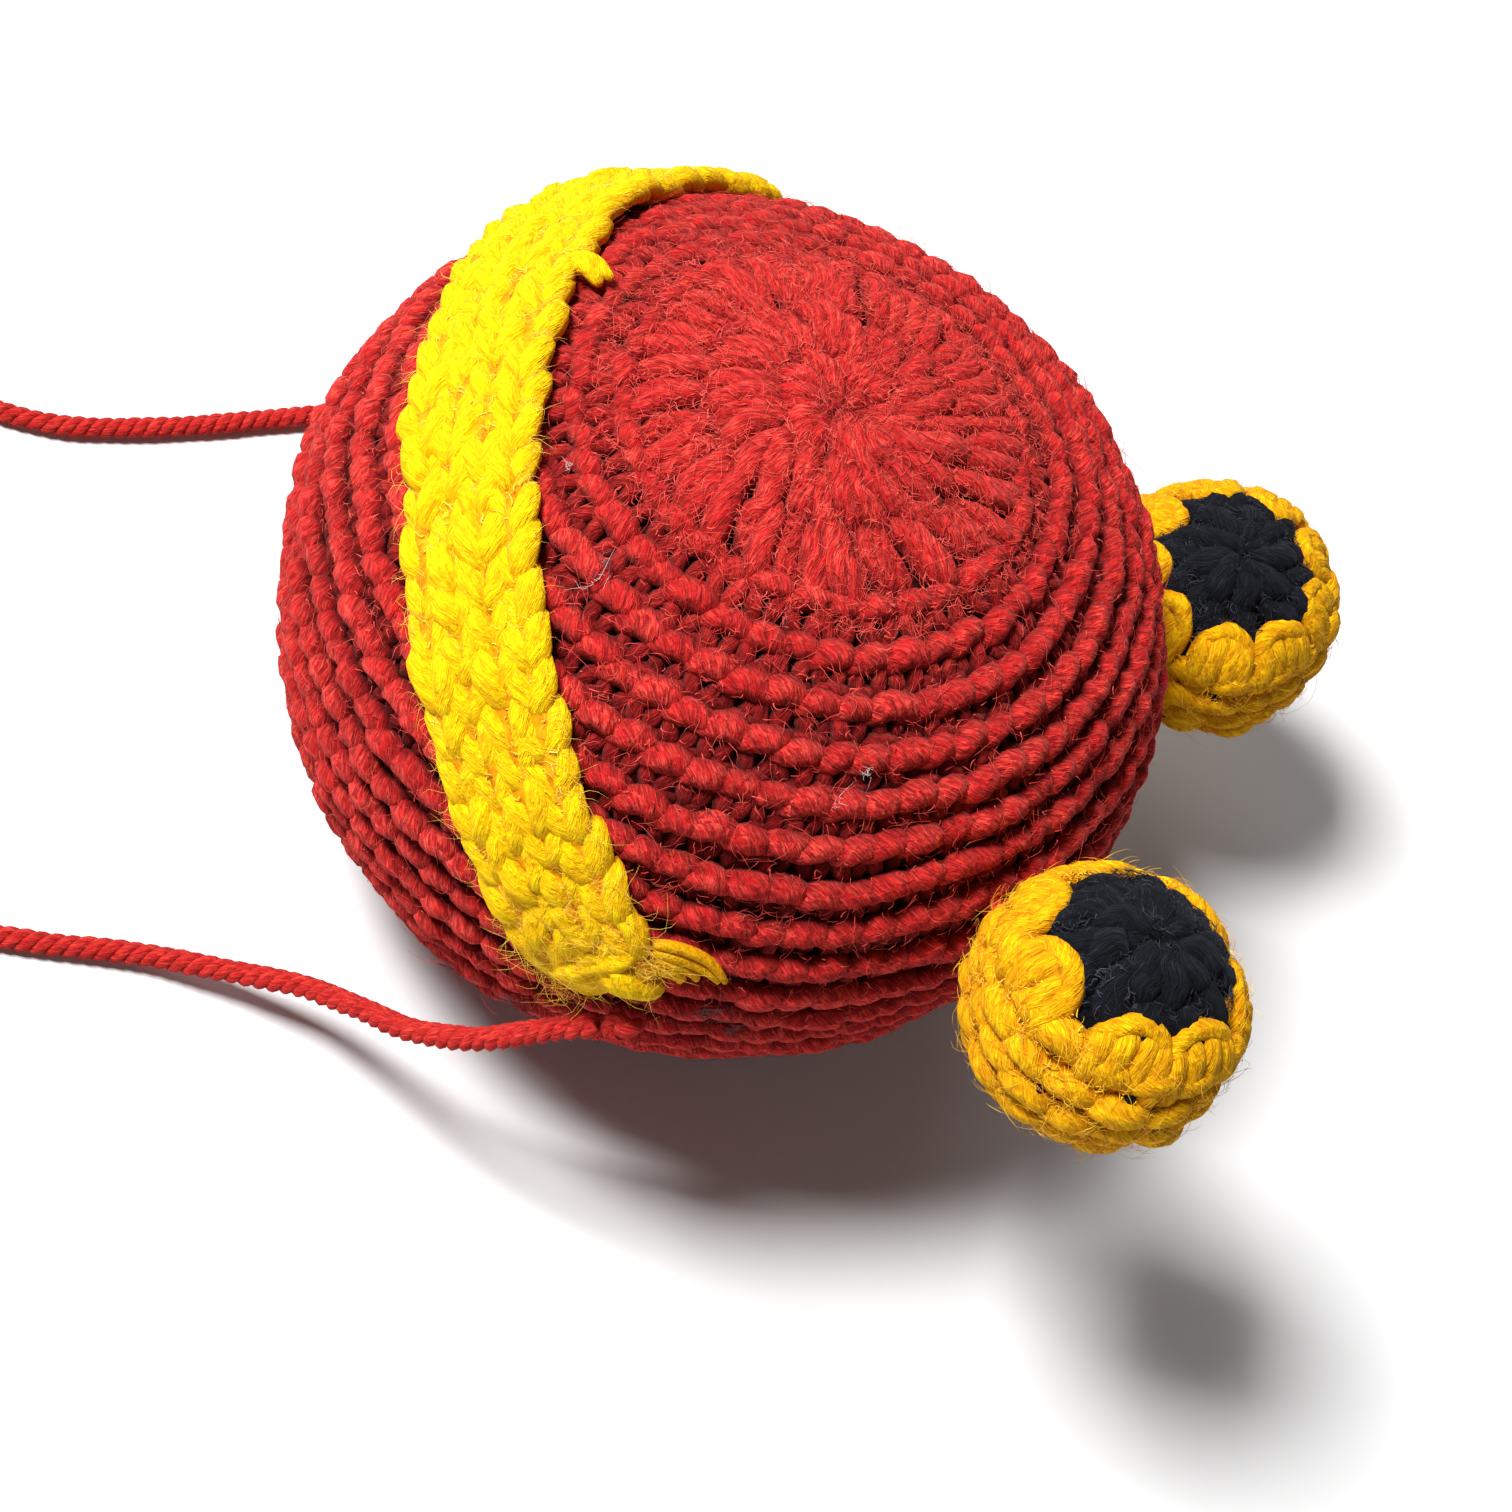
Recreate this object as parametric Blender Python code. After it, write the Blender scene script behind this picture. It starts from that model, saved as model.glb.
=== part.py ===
# A crocheted juggling ball: a red filled ball with a yellow band sewn over it,
# two small black-capped balls sewn to its side, and two thin tie cords.
# Metres, +Z up. The origin is the centre of the flat the ball stands on.

import math

import bmesh
import bpy
from mathutils import Matrix, Vector

# Main ball, measured from its widest round.
BALL_RADIUS = 0.0375
CROWN_HEIGHT = 0.0288
BELLY_DEPTH = 0.0334
BASE_FLAT = 0.0010  # how much of the belly's curve the standing flat takes off
CROWN_POWER = 2.0  # 2 is an ellipse, more is squarer
BELLY_POWER = 2.32
COVER_WALL = 0.0022
CLOSING_RADIUS = 0.0042  # hole left by the last round, gathered shut
POUCH_WALL = 0.0006

# Band over the back of the ball, in one plane.
BAND_WIDTH = 0.0110
BAND_THICKNESS = 0.0021
BAND_PLANE_TILT = math.radians(43.7)  # of the plane's normal, from +Z
BAND_PLANE_TURN = math.radians(16.6)  # of the plane's normal, from +X
BAND_PLANE_OFFSET = 0.0029  # from the middle of the ball, away from the crown
BAND_NEAR_END = math.radians(-82)
BAND_FAR_END = math.radians(-282)

# Small balls: where each touches the main ball, and its own size.
SMALL_BALLS = {
    "near": {"radius": 0.0106, "turn": math.radians(-34.8), "height": 0.0089},
    "far": {"radius": 0.0117, "turn": math.radians(39.3), "height": -0.0056},
}
CUP_WALL = 0.0019
CUP_MOUTH = math.radians(52)  # from the small ball's pole to the cup's rim
CORE_WALL = 0.0016
CORE_HOLE = 0.0014
NECK_GAP = 0.0016  # between the surfaces of the main ball and a small ball
NECK_RADIUS = 0.0014

# Tie cords.
CORD_DIAMETER = 0.0020
COIL_RADIUS = 0.0115  # at the middle of the turns
KNOT_RADIUS = 0.0021
ANCHOR_RADIUS = 0.0016
ANCHORS = {
    "near": {"turn": math.radians(-77.9), "height": -0.0033},
    "far": {"turn": math.radians(71.2), "height": -0.0255},
}
ROUTES = {
    "near": [
        (0.0064, -0.0388, 0.0285), (0.0042, -0.0395, 0.0268), (0.0012, -0.0402, 0.0232),
        (-0.0020, -0.0405, 0.0192), (-0.0066, -0.0399, 0.0145), (-0.0113, -0.0383, 0.0104),
        (-0.0159, -0.0372, 0.0070), (-0.0203, -0.0373, 0.0046), (-0.0246, -0.0379, 0.0028),
        (-0.0290, -0.0388, 0.0017), (-0.0328, -0.0402, 0.0012), (-0.0367, -0.0419, 0.0010),
        (-0.0406, -0.0435, 0.0010), (-0.0455, -0.0456, 0.0010), (-0.0512, -0.0487, 0.0010),
    ],
    "far": [
        (0.0083, 0.0284, 0.0040), (0.0066, 0.0308, 0.0025), (0.0036, 0.0334, 0.0014),
        (-0.0010, 0.0356, 0.0010), (-0.0070, 0.0370, 0.0010), (-0.0140, 0.0371, 0.0010),
        (-0.0210, 0.0355, 0.0010), (-0.0280, 0.0323, 0.0010), (-0.0340, 0.0285, 0.0010),
        (-0.0391, 0.0249, 0.0010), (-0.0433, 0.0213, 0.0010), (-0.0482, 0.0168, 0.0010),
        (-0.0522, 0.0132, 0.0010), (-0.0561, 0.0099, 0.0010), (-0.0602, 0.0069, 0.0010),
        (-0.0633, 0.0049, 0.0010), (-0.0667, 0.0036, 0.0010), (-0.0693, 0.0029, 0.0010),
        (-0.0732, 0.0020, 0.0010), (-0.0761, 0.0013, 0.0010),
    ],
}
COIL_CENTRES = {"near": (-0.0640, -0.0405), "far": (-0.0820, -0.0128)}
KNOT_TURNS = {"near": math.radians(200), "far": math.radians(160)}  # place in the coil

GAP = 0.0003  # between pieces that touch
BALL_STEPS = 36  # faces round the main ball
SMALL_STEPS = 24  # faces round a small ball
BAND_STEPS = 44  # faces along the band
TAIL_RADIUS = 0.0005

EQUATOR = BELLY_DEPTH - BASE_FLAT
MIDDLE = Vector((0, 0, EQUATOR))


# ---- helpers ----

def finish(name, colour, roughness):
    material = bpy.data.materials.new(name)
    material.use_nodes = True
    shader = material.node_tree.nodes["Principled BSDF"]
    shader.inputs["Base Color"].default_value = (*colour, 1)
    shader.inputs["Roughness"].default_value = roughness
    shader.inputs["Metallic"].default_value = 0
    material.diffuse_color = (*colour, 1)
    return material


def add_mesh(name, mesh_data, material, place=None):
    mesh = bpy.data.meshes.new(name)
    mesh_data.to_mesh(mesh)
    mesh_data.free()
    mesh.shade_smooth()
    mesh.set_sharp_from_angle(angle=math.radians(50))
    mesh.materials.append(material)
    piece = bpy.data.objects.new(name, mesh)
    if place is not None:
        piece.matrix_world = place
    bpy.context.scene.collection.objects.link(piece)
    return piece


def turned(name, outline, steps, material, place=None):
    """A solid turned about +Z. The outline is (radius, height) points, and its first and
    last points are on the axis, or the same point when the solid is a ring."""
    shape = bmesh.new()
    ring = outline[0] == outline[-1]
    corners = outline[:-1] if ring else outline
    points = [shape.verts.new((radius, 0, height)) for radius, height in corners]
    edges = [shape.edges.new(pair) for pair in zip(points, points[1:])]
    if ring:
        edges.append(shape.edges.new((points[-1], points[0])))
    bmesh.ops.spin(
        shape, geom=points + edges, axis=(0, 0, 1), cent=(0, 0, 0),
        angle=2 * math.pi, steps=steps, use_merge=True,
    )
    bmesh.ops.remove_doubles(shape, verts=shape.verts, dist=1e-6)
    bmesh.ops.recalc_face_normals(shape, faces=shape.faces)
    return add_mesh(name, shape, material, place)


def steps_between(first, last, count):
    return [first + (last - first) * step / count for step in range(count + 1)]


def superellipse(angle, power, width, height):
    """A point of the curve, with angle 0 at its widest and a quarter turn at its top."""
    across = abs(math.cos(angle)) ** (2 / power) * width
    up = math.copysign(abs(math.sin(angle)) ** (2 / power), angle) * height
    return across, up


# ---- surface of the main ball ----

def steepness(point):
    """How the ball's own shape value grows at a point measured from its middle, and the value."""
    height, power = (CROWN_HEIGHT, CROWN_POWER) if point.z > 0 else (BELLY_DEPTH, BELLY_POWER)
    across = math.hypot(point.x, point.y)
    value = (across / BALL_RADIUS) ** power + (abs(point.z) / height) ** power - 1
    out = power * across ** (power - 1) / BALL_RADIUS ** power
    up = power * abs(point.z) ** (power - 1) / height ** power
    slope = Vector((point.x / across * out, point.y / across * out, math.copysign(up, point.z)))
    return slope, value


def on_ball(point):
    """The nearest point of the ball's surface and its normal. Both points are in world space."""
    local = point - MIDDLE
    for _ in range(8):
        slope, value = steepness(local)
        local = local - slope * (value / slope.length_squared)
    return local + MIDDLE, steepness(local)[0].normalized()


def radius_at(height):
    """The ball's radius at a height from its widest round."""
    reach, power = (CROWN_HEIGHT, CROWN_POWER) if height > 0 else (BELLY_DEPTH, BELLY_POWER)
    return BALL_RADIUS * max(0, 1 - (abs(height) / reach) ** power) ** (1 / power)


def touch_point(turn, height):
    radius = radius_at(height)
    point = Vector((radius * math.cos(turn), radius * math.sin(turn), EQUATOR + height))
    return on_ball(point)


def ball_outline(depth, floor, upper_count, lower_count):
    """(radius, height) points from the crown to a floor height, sunk in from the surface."""
    points = []
    for angle in steps_between(math.pi / 2, 0, upper_count):
        width, height = BALL_RADIUS - depth, CROWN_HEIGHT - depth
        across, up = superellipse(angle, CROWN_POWER, width, height)
        points.append((across if angle < math.pi / 2 else 0, EQUATOR + up))
    width, height = BALL_RADIUS - depth, BELLY_DEPTH - depth
    lowest = (EQUATOR - floor) / height
    last = -math.asin(lowest ** (BELLY_POWER / 2)) if lowest < 1 else -math.pi / 2
    for angle in steps_between(0, last, lower_count)[1:]:
        across, up = superellipse(angle, BELLY_POWER, width, height)
        points.append((across, EQUATOR + up))
    return points


# ---- main ball ----

def make_main_ball():
    red = finish("red_yarn", (0.50, 0.022, 0.028), 0.85)
    outer = ball_outline(0, 0, 9, 9)
    inner = ball_outline(COVER_WALL, COVER_WALL, 7, 7)
    hole = [(CLOSING_RADIUS, 0), (CLOSING_RADIUS, COVER_WALL)]
    turned("main_cover", outer + hole + inner[::-1], BALL_STEPS, red)

    # The closing yarn fills the last round's hole and ends flush with the standing flat.
    plug, top = CLOSING_RADIUS - GAP, COVER_WALL - GAP
    turned("cover_closing", [(0, top), (plug * 0.6, top), (plug, top / 2), (plug, 0), (0, 0)],
           SMALL_STEPS, red)

    # Inner pouch that keeps the filling from running out through the stitches.
    depth = COVER_WALL + GAP
    pouch_floor = COVER_WALL + GAP
    outer = ball_outline(depth, pouch_floor, 7, 7)
    inner = ball_outline(depth + POUCH_WALL, pouch_floor + POUCH_WALL, 7, 7)
    mouth = [(CLOSING_RADIUS, pouch_floor), (CLOSING_RADIUS, pouch_floor + POUCH_WALL)]
    dark = finish("pouch_cloth", (0.03, 0.03, 0.032), 0.8)
    turned("inner_pouch", outer + mouth + inner[::-1], BALL_STEPS, dark)

    depth += POUCH_WALL + GAP
    filling_floor = pouch_floor + POUCH_WALL + GAP
    grain = finish("grain", (0.62, 0.50, 0.30), 0.7)
    filling = ball_outline(depth, filling_floor, 7, 7) + [(0, filling_floor)]
    turned("main_filling", filling, BALL_STEPS, grain)


# ---- band ----

def band_stations(count):
    """Where the band's plane crosses the ball, as (point, normal, side) along the band."""
    across = math.sin(BAND_PLANE_TILT)
    normal = Vector((across * math.cos(BAND_PLANE_TURN), across * math.sin(BAND_PLANE_TURN),
                     math.cos(BAND_PLANE_TILT)))
    stations = []
    for turn in steps_between(BAND_NEAR_END, BAND_FAR_END, count):
        low, high = -BELLY_DEPTH * 0.98, CROWN_HEIGHT * 0.98
        for _ in range(40):
            height = (low + high) / 2
            radius = radius_at(height)
            point = Vector((radius * math.cos(turn), radius * math.sin(turn), height))
            if point.dot(normal) + BAND_PLANE_OFFSET > 0:
                high = height
            else:
                low = height
        point, out = on_ball(point + MIDDLE)
        stations.append((point, out, (normal - out * normal.dot(out)).normalized()))
    return stations


def make_band():
    yellow = finish("yellow_yarn", (0.95, 0.60, 0.01), 0.85)
    half = BAND_WIDTH / 2
    low, high = GAP, GAP + BAND_THICKNESS
    # Section of the band: across it, and up from the ball.
    section = [(-half, low), (-half / 3, low), (half / 3, low), (half, low),
               (half, high * 0.7), (half * 0.8, high), (half / 3, high),
               (-half / 3, high), (-half * 0.8, high), (-half, high * 0.7)]
    shape = bmesh.new()
    rings = []
    stations = band_stations(BAND_STEPS)
    for point, _, side in stations:
        ring = []
        for across, up in section:
            foot, normal = on_ball(point + side * across)
            ring.append(shape.verts.new(foot + normal * up))
        rings.append(ring)
    count = len(section)
    for first, second in zip(rings, rings[1:]):
        for index in range(count):
            following = (index + 1) % count
            shape.faces.new((first[index], first[following], second[following], second[index]))
    shape.faces.new(rings[0])
    shape.faces.new(rings[-1])
    bmesh.ops.recalc_face_normals(shape, faces=shape.faces)
    add_mesh("yellow_band", shape, yellow)

    # Loose yarn ends: one beside the band's upper edge, two at its near end.
    tails = {
        "band_tail_upper": {"station": 23, "across": half, "lean": 0.0, "length": 0.0030},
        "band_tail_end": {"station": 0, "across": half * 0.55, "lean": 0.5, "length": 0.0046},
        "band_tail_corner": {"station": 0, "across": -half * 0.45, "lean": -0.2, "length": 0.0028},
    }
    for name, tail in tails.items():
        point, normal, side = stations[tail["station"]]
        following = stations[tail["station"] + 1][0]
        along = (point - following).normalized()
        at_edge = tail["station"] > 0
        run = side if at_edge else (along + side * tail["lean"]).normalized()
        clear = GAP + TAIL_RADIUS
        places = []
        for step in range(4):
            reach = clear + tail["length"] * step / 3
            foot, out = on_ball(point + side * tail["across"] + run * reach)
            places.append(foot + out * (clear + GAP))
        add_tube(name, places, TAIL_RADIUS, yellow)


def add_tube(name, places, radius, material):
    curve = bpy.data.curves.new(name, "CURVE")
    curve.dimensions = "3D"
    curve.bevel_depth = radius
    curve.bevel_resolution = 2
    curve.use_fill_caps = True
    spline = curve.splines.new("POLY")
    spline.points.add(len(places) - 1)
    for point, place in zip(spline.points, places):
        point.co = (*place, 1)
    curve.materials.append(material)
    piece = bpy.data.objects.new(name, curve)
    bpy.context.scene.collection.objects.link(piece)
    return piece


# ---- small balls ----

def sphere_outline(radius, first, last, count):
    return [(radius * math.sin(angle), radius * math.cos(angle))
            for angle in steps_between(first, last, count)]


def make_small_ball(side, radius, turn, height):
    yellow = finish(side + "_cup_yarn", (0.95, 0.52, 0.01), 0.85)
    black = finish(side + "_core_yarn", (0.012, 0.013, 0.016), 0.9)
    wool = finish(side + "_stuffing", (0.05, 0.05, 0.055), 0.95)
    shank = finish(side + "_neck_yarn", (0.50, 0.022, 0.028), 0.85)

    touch, out = touch_point(turn, height)
    pivot = touch + out * NECK_GAP / 2
    centre = touch + out * (NECK_GAP + radius)
    # The hinge empties carry the pieces, so each piece turns about its own joint.
    tilt = bpy.data.objects.new(side + "_ball_tilt", None)
    tilt.matrix_world = Matrix.Translation(pivot)
    swing = bpy.data.objects.new(side + "_ball_swing", None)
    swing.parent = tilt
    for empty in (tilt, swing):
        bpy.context.scene.collection.objects.link(empty)

    # Neck: the wraps of yarn that hold the small ball on, a lens lying across its axis.
    half = NECK_GAP / 2 - GAP
    lens = [(NECK_RADIUS * math.sin(angle), half * math.cos(angle))
            for angle in steps_between(0, math.pi, 6)]
    lens[0], lens[-1] = (0, half), (0, -half)
    neck = turned(side + "_neck", lens, 14, shank, out.to_track_quat("Z", "Y").to_matrix().to_4x4())
    neck.parent = tilt

    place = Matrix.Translation(centre - pivot)
    inside = radius - CUP_WALL
    cup = (sphere_outline(radius, CUP_MOUTH, math.pi, 8)[:-1] + [(0, -radius), (0, -inside)]
           + sphere_outline(inside, math.pi, CUP_MOUTH, 6)[1:])
    cup_piece = turned(side + "_cup", cup + cup[:1], SMALL_STEPS, yellow, place)

    # Core: a black ball that bulges out of the cup's mouth, with its own stuffing.
    shoulder = CUP_MOUTH - GAP * 1.6 / radius
    seat = inside - GAP
    core_inside = seat - CORE_WALL
    core_crown = radius - GAP
    hole = math.pi - math.asin(CORE_HOLE / seat)
    inner_hole = math.pi - math.asin(CORE_HOLE / core_inside)
    core = ([(0, core_crown)] + sphere_outline(core_crown, 0, shoulder, 5)[1:]
            + sphere_outline(seat, shoulder, hole, 6)
            + sphere_outline(core_inside, inner_hole, 0, 8)[:-1] + [(0, core_inside)])
    core_piece = turned(side + "_core", core, SMALL_STEPS, black, place)
    stuffing = sphere_outline(core_inside - GAP, 0, math.pi, 8)
    stuffing[0], stuffing[-1] = (0, core_inside - GAP), (0, GAP - core_inside)
    filling = turned(side + "_core_stuffing", stuffing, SMALL_STEPS, wool, place)
    for piece in (cup_piece, core_piece, filling):
        piece.parent = swing
    return pivot, out


# ---- tie cords ----

def smooth_route(route, spacing):
    """Points at an even spacing along a Catmull-Rom curve through the route's own points."""
    places = [Vector(place) for place in route]
    ends = [2 * places[0] - places[1]] + places + [2 * places[-1] - places[-2]]
    fine = []
    for first, second, third, fourth in zip(ends, ends[1:], ends[2:], ends[3:]):
        for share in (0, 0.125, 0.25, 0.375, 0.5, 0.625, 0.75, 0.875):
            fine.append(0.5 * (2 * second + (third - first) * share
                               + (2 * first - 5 * second + 4 * third - fourth) * share ** 2
                               + (3 * second - first - 3 * third + fourth) * share ** 3))
    fine.append(places[-1])
    reached = [0]
    for first, second in zip(fine, fine[1:]):
        reached.append(reached[-1] + (second - first).length)
    count = round(reached[-1] / spacing)
    evenly, index = [], 0
    for step in range(count + 1):
        goal = reached[-1] * step / count
        while index < len(fine) - 2 and reached[index + 1] < goal:
            index += 1
        share = (goal - reached[index]) / (reached[index + 1] - reached[index])
        evenly.append(fine[index].lerp(fine[index + 1], share))
    return evenly, reached[-1]


def make_cord(side):
    red = finish(side + "_cord_yarn", (0.42, 0.015, 0.025), 0.85)
    touch, out = touch_point(**ANCHORS[side])
    # Anchor: the knuckle of slip stitches that works the cord into the cover.
    centre = touch + out * (GAP + ANCHOR_RADIUS)
    bead = [(ANCHOR_RADIUS * math.sin(angle), ANCHOR_RADIUS * math.cos(angle))
            for angle in steps_between(0, math.pi, 6)]
    bead[0], bead[-1] = (0, ANCHOR_RADIUS), (0, -ANCHOR_RADIUS)
    turned(side + "_cord_anchor", bead, 12, red, Matrix.Translation(centre))

    places, length = smooth_route(ROUTES[side], CORD_DIAMETER * 2.2)
    add_tube(side + "_cord", places, CORD_DIAMETER / 2, red)

    # Coil: two turns side by side and more on top, as one ring.
    middle = Vector((*COIL_CENTRES[side], 0))
    half, top = CORD_DIAMETER * 1.03, CORD_DIAMETER * 1.9
    rim = CORD_DIAMETER * 0.35
    section = [(COIL_RADIUS - half, rim), (COIL_RADIUS - half + rim, 0), (COIL_RADIUS + half - rim, 0),
               (COIL_RADIUS + half, rim), (COIL_RADIUS + half, top - rim), (COIL_RADIUS + half - rim, top),
               (COIL_RADIUS - half + rim, top), (COIL_RADIUS - half, top - rim)]
    turned(side + "_cord_coil", section + section[:1], 32, red, Matrix.Translation(middle))

    # Knot: the overhand knot at the cord's end, lying inside the coil.
    turn = KNOT_TURNS[side]
    reach = COIL_RADIUS - half - GAP - KNOT_RADIUS
    knot = [(KNOT_RADIUS * math.sin(angle), KNOT_RADIUS * math.cos(angle))
            for angle in steps_between(0, math.pi, 7)]
    knot[0], knot[-1] = (0, KNOT_RADIUS), (0, -KNOT_RADIUS)
    spot = middle + Vector((reach * math.cos(turn), reach * math.sin(turn), KNOT_RADIUS))
    turned(side + "_cord_knot", knot, 14, red, Matrix.Translation(spot))
    return length


# ---- build ----

for leftover in list(bpy.data.objects):
    bpy.data.objects.remove(leftover, do_unlink=True)

make_main_ball()
make_band()
for side, ball in SMALL_BALLS.items():
    pivot, out = make_small_ball(side, **ball)
    print(side, "pivot", [round(value, 5) for value in pivot], "outward", [round(value, 4) for value in out])
for side in ROUTES:
    print(side, "cord off the coil", round(make_cord(side), 4))
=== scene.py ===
import math

import bpy
import numpy as np
from mathutils import Matrix, Vector


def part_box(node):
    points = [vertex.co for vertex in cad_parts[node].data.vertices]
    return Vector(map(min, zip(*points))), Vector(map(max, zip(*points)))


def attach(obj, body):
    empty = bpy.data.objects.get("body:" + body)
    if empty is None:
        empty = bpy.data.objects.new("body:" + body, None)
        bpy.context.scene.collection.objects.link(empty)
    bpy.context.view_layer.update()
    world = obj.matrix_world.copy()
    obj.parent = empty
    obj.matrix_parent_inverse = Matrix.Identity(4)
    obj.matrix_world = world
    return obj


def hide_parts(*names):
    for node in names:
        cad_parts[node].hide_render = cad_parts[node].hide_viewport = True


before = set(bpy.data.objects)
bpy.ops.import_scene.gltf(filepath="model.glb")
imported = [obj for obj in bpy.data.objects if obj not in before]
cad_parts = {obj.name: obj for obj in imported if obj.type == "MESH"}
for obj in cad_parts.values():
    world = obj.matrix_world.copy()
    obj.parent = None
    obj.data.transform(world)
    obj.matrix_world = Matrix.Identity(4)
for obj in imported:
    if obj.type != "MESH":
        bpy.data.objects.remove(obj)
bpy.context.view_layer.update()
mm = 0.001
fullTurn = 2 * math.pi
chance = np.random.default_rng(417)

ball = {
    "radius": 37.5 * mm, "middle": 32.4 * mm,       # widest round, and how high it is
    "crown": 28.8 * mm, "crownPower": 2.0,
    "belly": 33.4 * mm, "bellyPower": 2.32,
    "footing": 1.2 * mm,                            # below this height it is squeezed onto the floor
    "lump": 0.16 * mm, "lumpFrom": 12 * mm,
}
ballMiddle = Vector((0, 0, ball["middle"]))

view = {
    "away": 225 * mm,
    "height": 52.46,      # degrees above the floor
    "lean": 28.5,         # degrees of roll
    "focal": 2675,        # in units of a frame 1512 wide
    "wide": 1512,
    "place": (-23.4, 150.4),  # where the ball's middle shows, from the frame's centre
    "nearest": 10 * mm,
}


def setCamera():
    height, lean = math.radians(view["height"]), math.radians(view["lean"])
    toward = Vector((0, -math.cos(height), math.sin(height)))
    level = Vector((1, 0, 0))
    upright = level.cross(-toward)
    right = level * math.cos(lean) + upright * math.sin(lean)
    up = upright * math.cos(lean) - level * math.sin(lean)
    across, rise = view["place"]
    ahead = (-toward - right * across / view["focal"] - up * rise / view["focal"]).normalized()
    right = (right - ahead * right.dot(ahead)).normalized()
    up = right.cross(ahead)
    data = bpy.data.cameras.new("studioCamera")
    data.lens = view["focal"] / view["wide"] * data.sensor_width
    data.clip_start = view["nearest"]
    eye = bpy.data.objects.new("studioCamera", data)
    turn = Matrix((right, up, -ahead)).transposed().to_4x4()
    eye.matrix_world = Matrix.Translation(ballMiddle + toward * view["away"]) @ turn
    bpy.context.scene.collection.objects.link(eye)
    bpy.context.scene.camera = eye


setCamera()
print("camera set")


class Wire:
    def __init__(self, finish, socket):
        self.finish, self.socket = finish, socket

    def maths(self, operation, *values):
        return self.finish.node("Math", {"operation": operation}, dict(enumerate(values)))

    def __add__(self, other):
        return self.maths("ADD", self, other)

    def __sub__(self, other):
        return self.maths("SUBTRACT", self, other)

    def __rsub__(self, other):
        return self.maths("SUBTRACT", other, self)

    def __mul__(self, other):
        return self.maths("MULTIPLY", self, other)

    def __truediv__(self, other):
        return self.maths("DIVIDE", self, other)

    __radd__ = __add__
    __rmul__ = __mul__

    def wave(self):
        return self.maths("COSINE", self)

    def held(self):
        return self.finish.node("Clamp", None, {0: self})

    def spread(self, low, high):
        return ((self - low) / (high - low)).held()


class Finish:
    def __init__(self, name, fixed):
        self.material = bpy.data.materials.new(name)
        self.material.use_nodes = True
        self.tree = self.material.node_tree
        self.shader = self.tree.nodes["Principled BSDF"]
        for socket, value in fixed.items():
            self.shader.inputs[socket].default_value = value

    def feed(self, socket, value):
        if isinstance(value, Wire):
            self.tree.links.new(value.socket, socket)
        else:
            socket.default_value = value

    def node(self, kind, settings=None, inputs=None, output=0):
        made = self.tree.nodes.new("ShaderNode" + kind)
        for key, value in (settings or {}).items():
            setattr(made, key, value)
        for key, value in (inputs or {}).items():
            self.feed(made.inputs[key], value)
        return Wire(self, made.outputs[output])

    def mix(self, share, first, second):
        return self.node("Mix", {"data_type": "RGBA"}, {0: share, 6: first, 7: second}, 2)

    def show(self, sockets):
        for socket, value in sockets.items():
            self.feed(self.shader.inputs[socket], value)
        return self.material


def colour(red, green, blue):
    return (red, green, blue, 1.0)


# Deep is painted shade on buried yarn, on the inner side of each strand and in ply grooves, and also the
# darker random blotches; body is the yarn's own colour; lit is a painted highlight on its fibres.
yarnColours = {
    "red": {"deep": colour(0.055, 0.001, 0.002), "body": colour(0.67, 0.011, 0.013),
            "lit": colour(1.0, 0.15, 0.10), "sheen": colour(1.0, 0.30, 0.25), "sheenWeight": 0.12,
            "lines": 0.5, "blotch": 0.30},
    "yellow": {"deep": colour(0.80, 0.32, 0.0), "body": colour(1.0, 0.66, 0.0),
               "lit": colour(1.0, 0.86, 0.004), "sheen": colour(1.0, 0.8, 0.05), "sheenWeight": 0.06,
               "lines": 0.38, "blotch": 0.40},
    "cup": {"deep": colour(0.52, 0.15, 0.0), "body": colour(0.98, 0.50, 0.0),
            "lit": colour(1.0, 0.74, 0.004), "sheen": colour(1.0, 0.7, 0.05), "sheenWeight": 0.06,
            "lines": 0.30, "blotch": 0.55},
    "black": {"deep": colour(0.001, 0.0012, 0.002), "body": colour(0.004, 0.0045, 0.007),
              "lit": colour(0.030, 0.034, 0.048), "sheen": colour(0.6, 0.7, 1.0), "sheenWeight": 0.02,
              "lines": 0.3, "blotch": 0.3},
    "cord": {"deep": colour(0.20, 0.004, 0.006), "body": colour(0.60, 0.014, 0.014),
             "lit": colour(0.93, 0.11, 0.065), "sheen": colour(1.0, 0.30, 0.25), "sheenWeight": 0.10,
             "lines": 0.55, "blotch": 0.2},
}
yarnGrain = {
    "roughness": 0.86, "sheenRoughness": 0.45, "specular": 0.12,
    "ply": 0.82, "stray": 0.8,        # how wide a ply is, and how far it strays
    "wander": (0.55, 0.35), "fibre": (6.5, 0.75), "hair": (17.0, 1.3), "blotch": (1.0, 0.75),
    "streakRoughness": 0.6, "bump": 0.9, "bumpDepth": 0.20 * mm,
}


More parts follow.
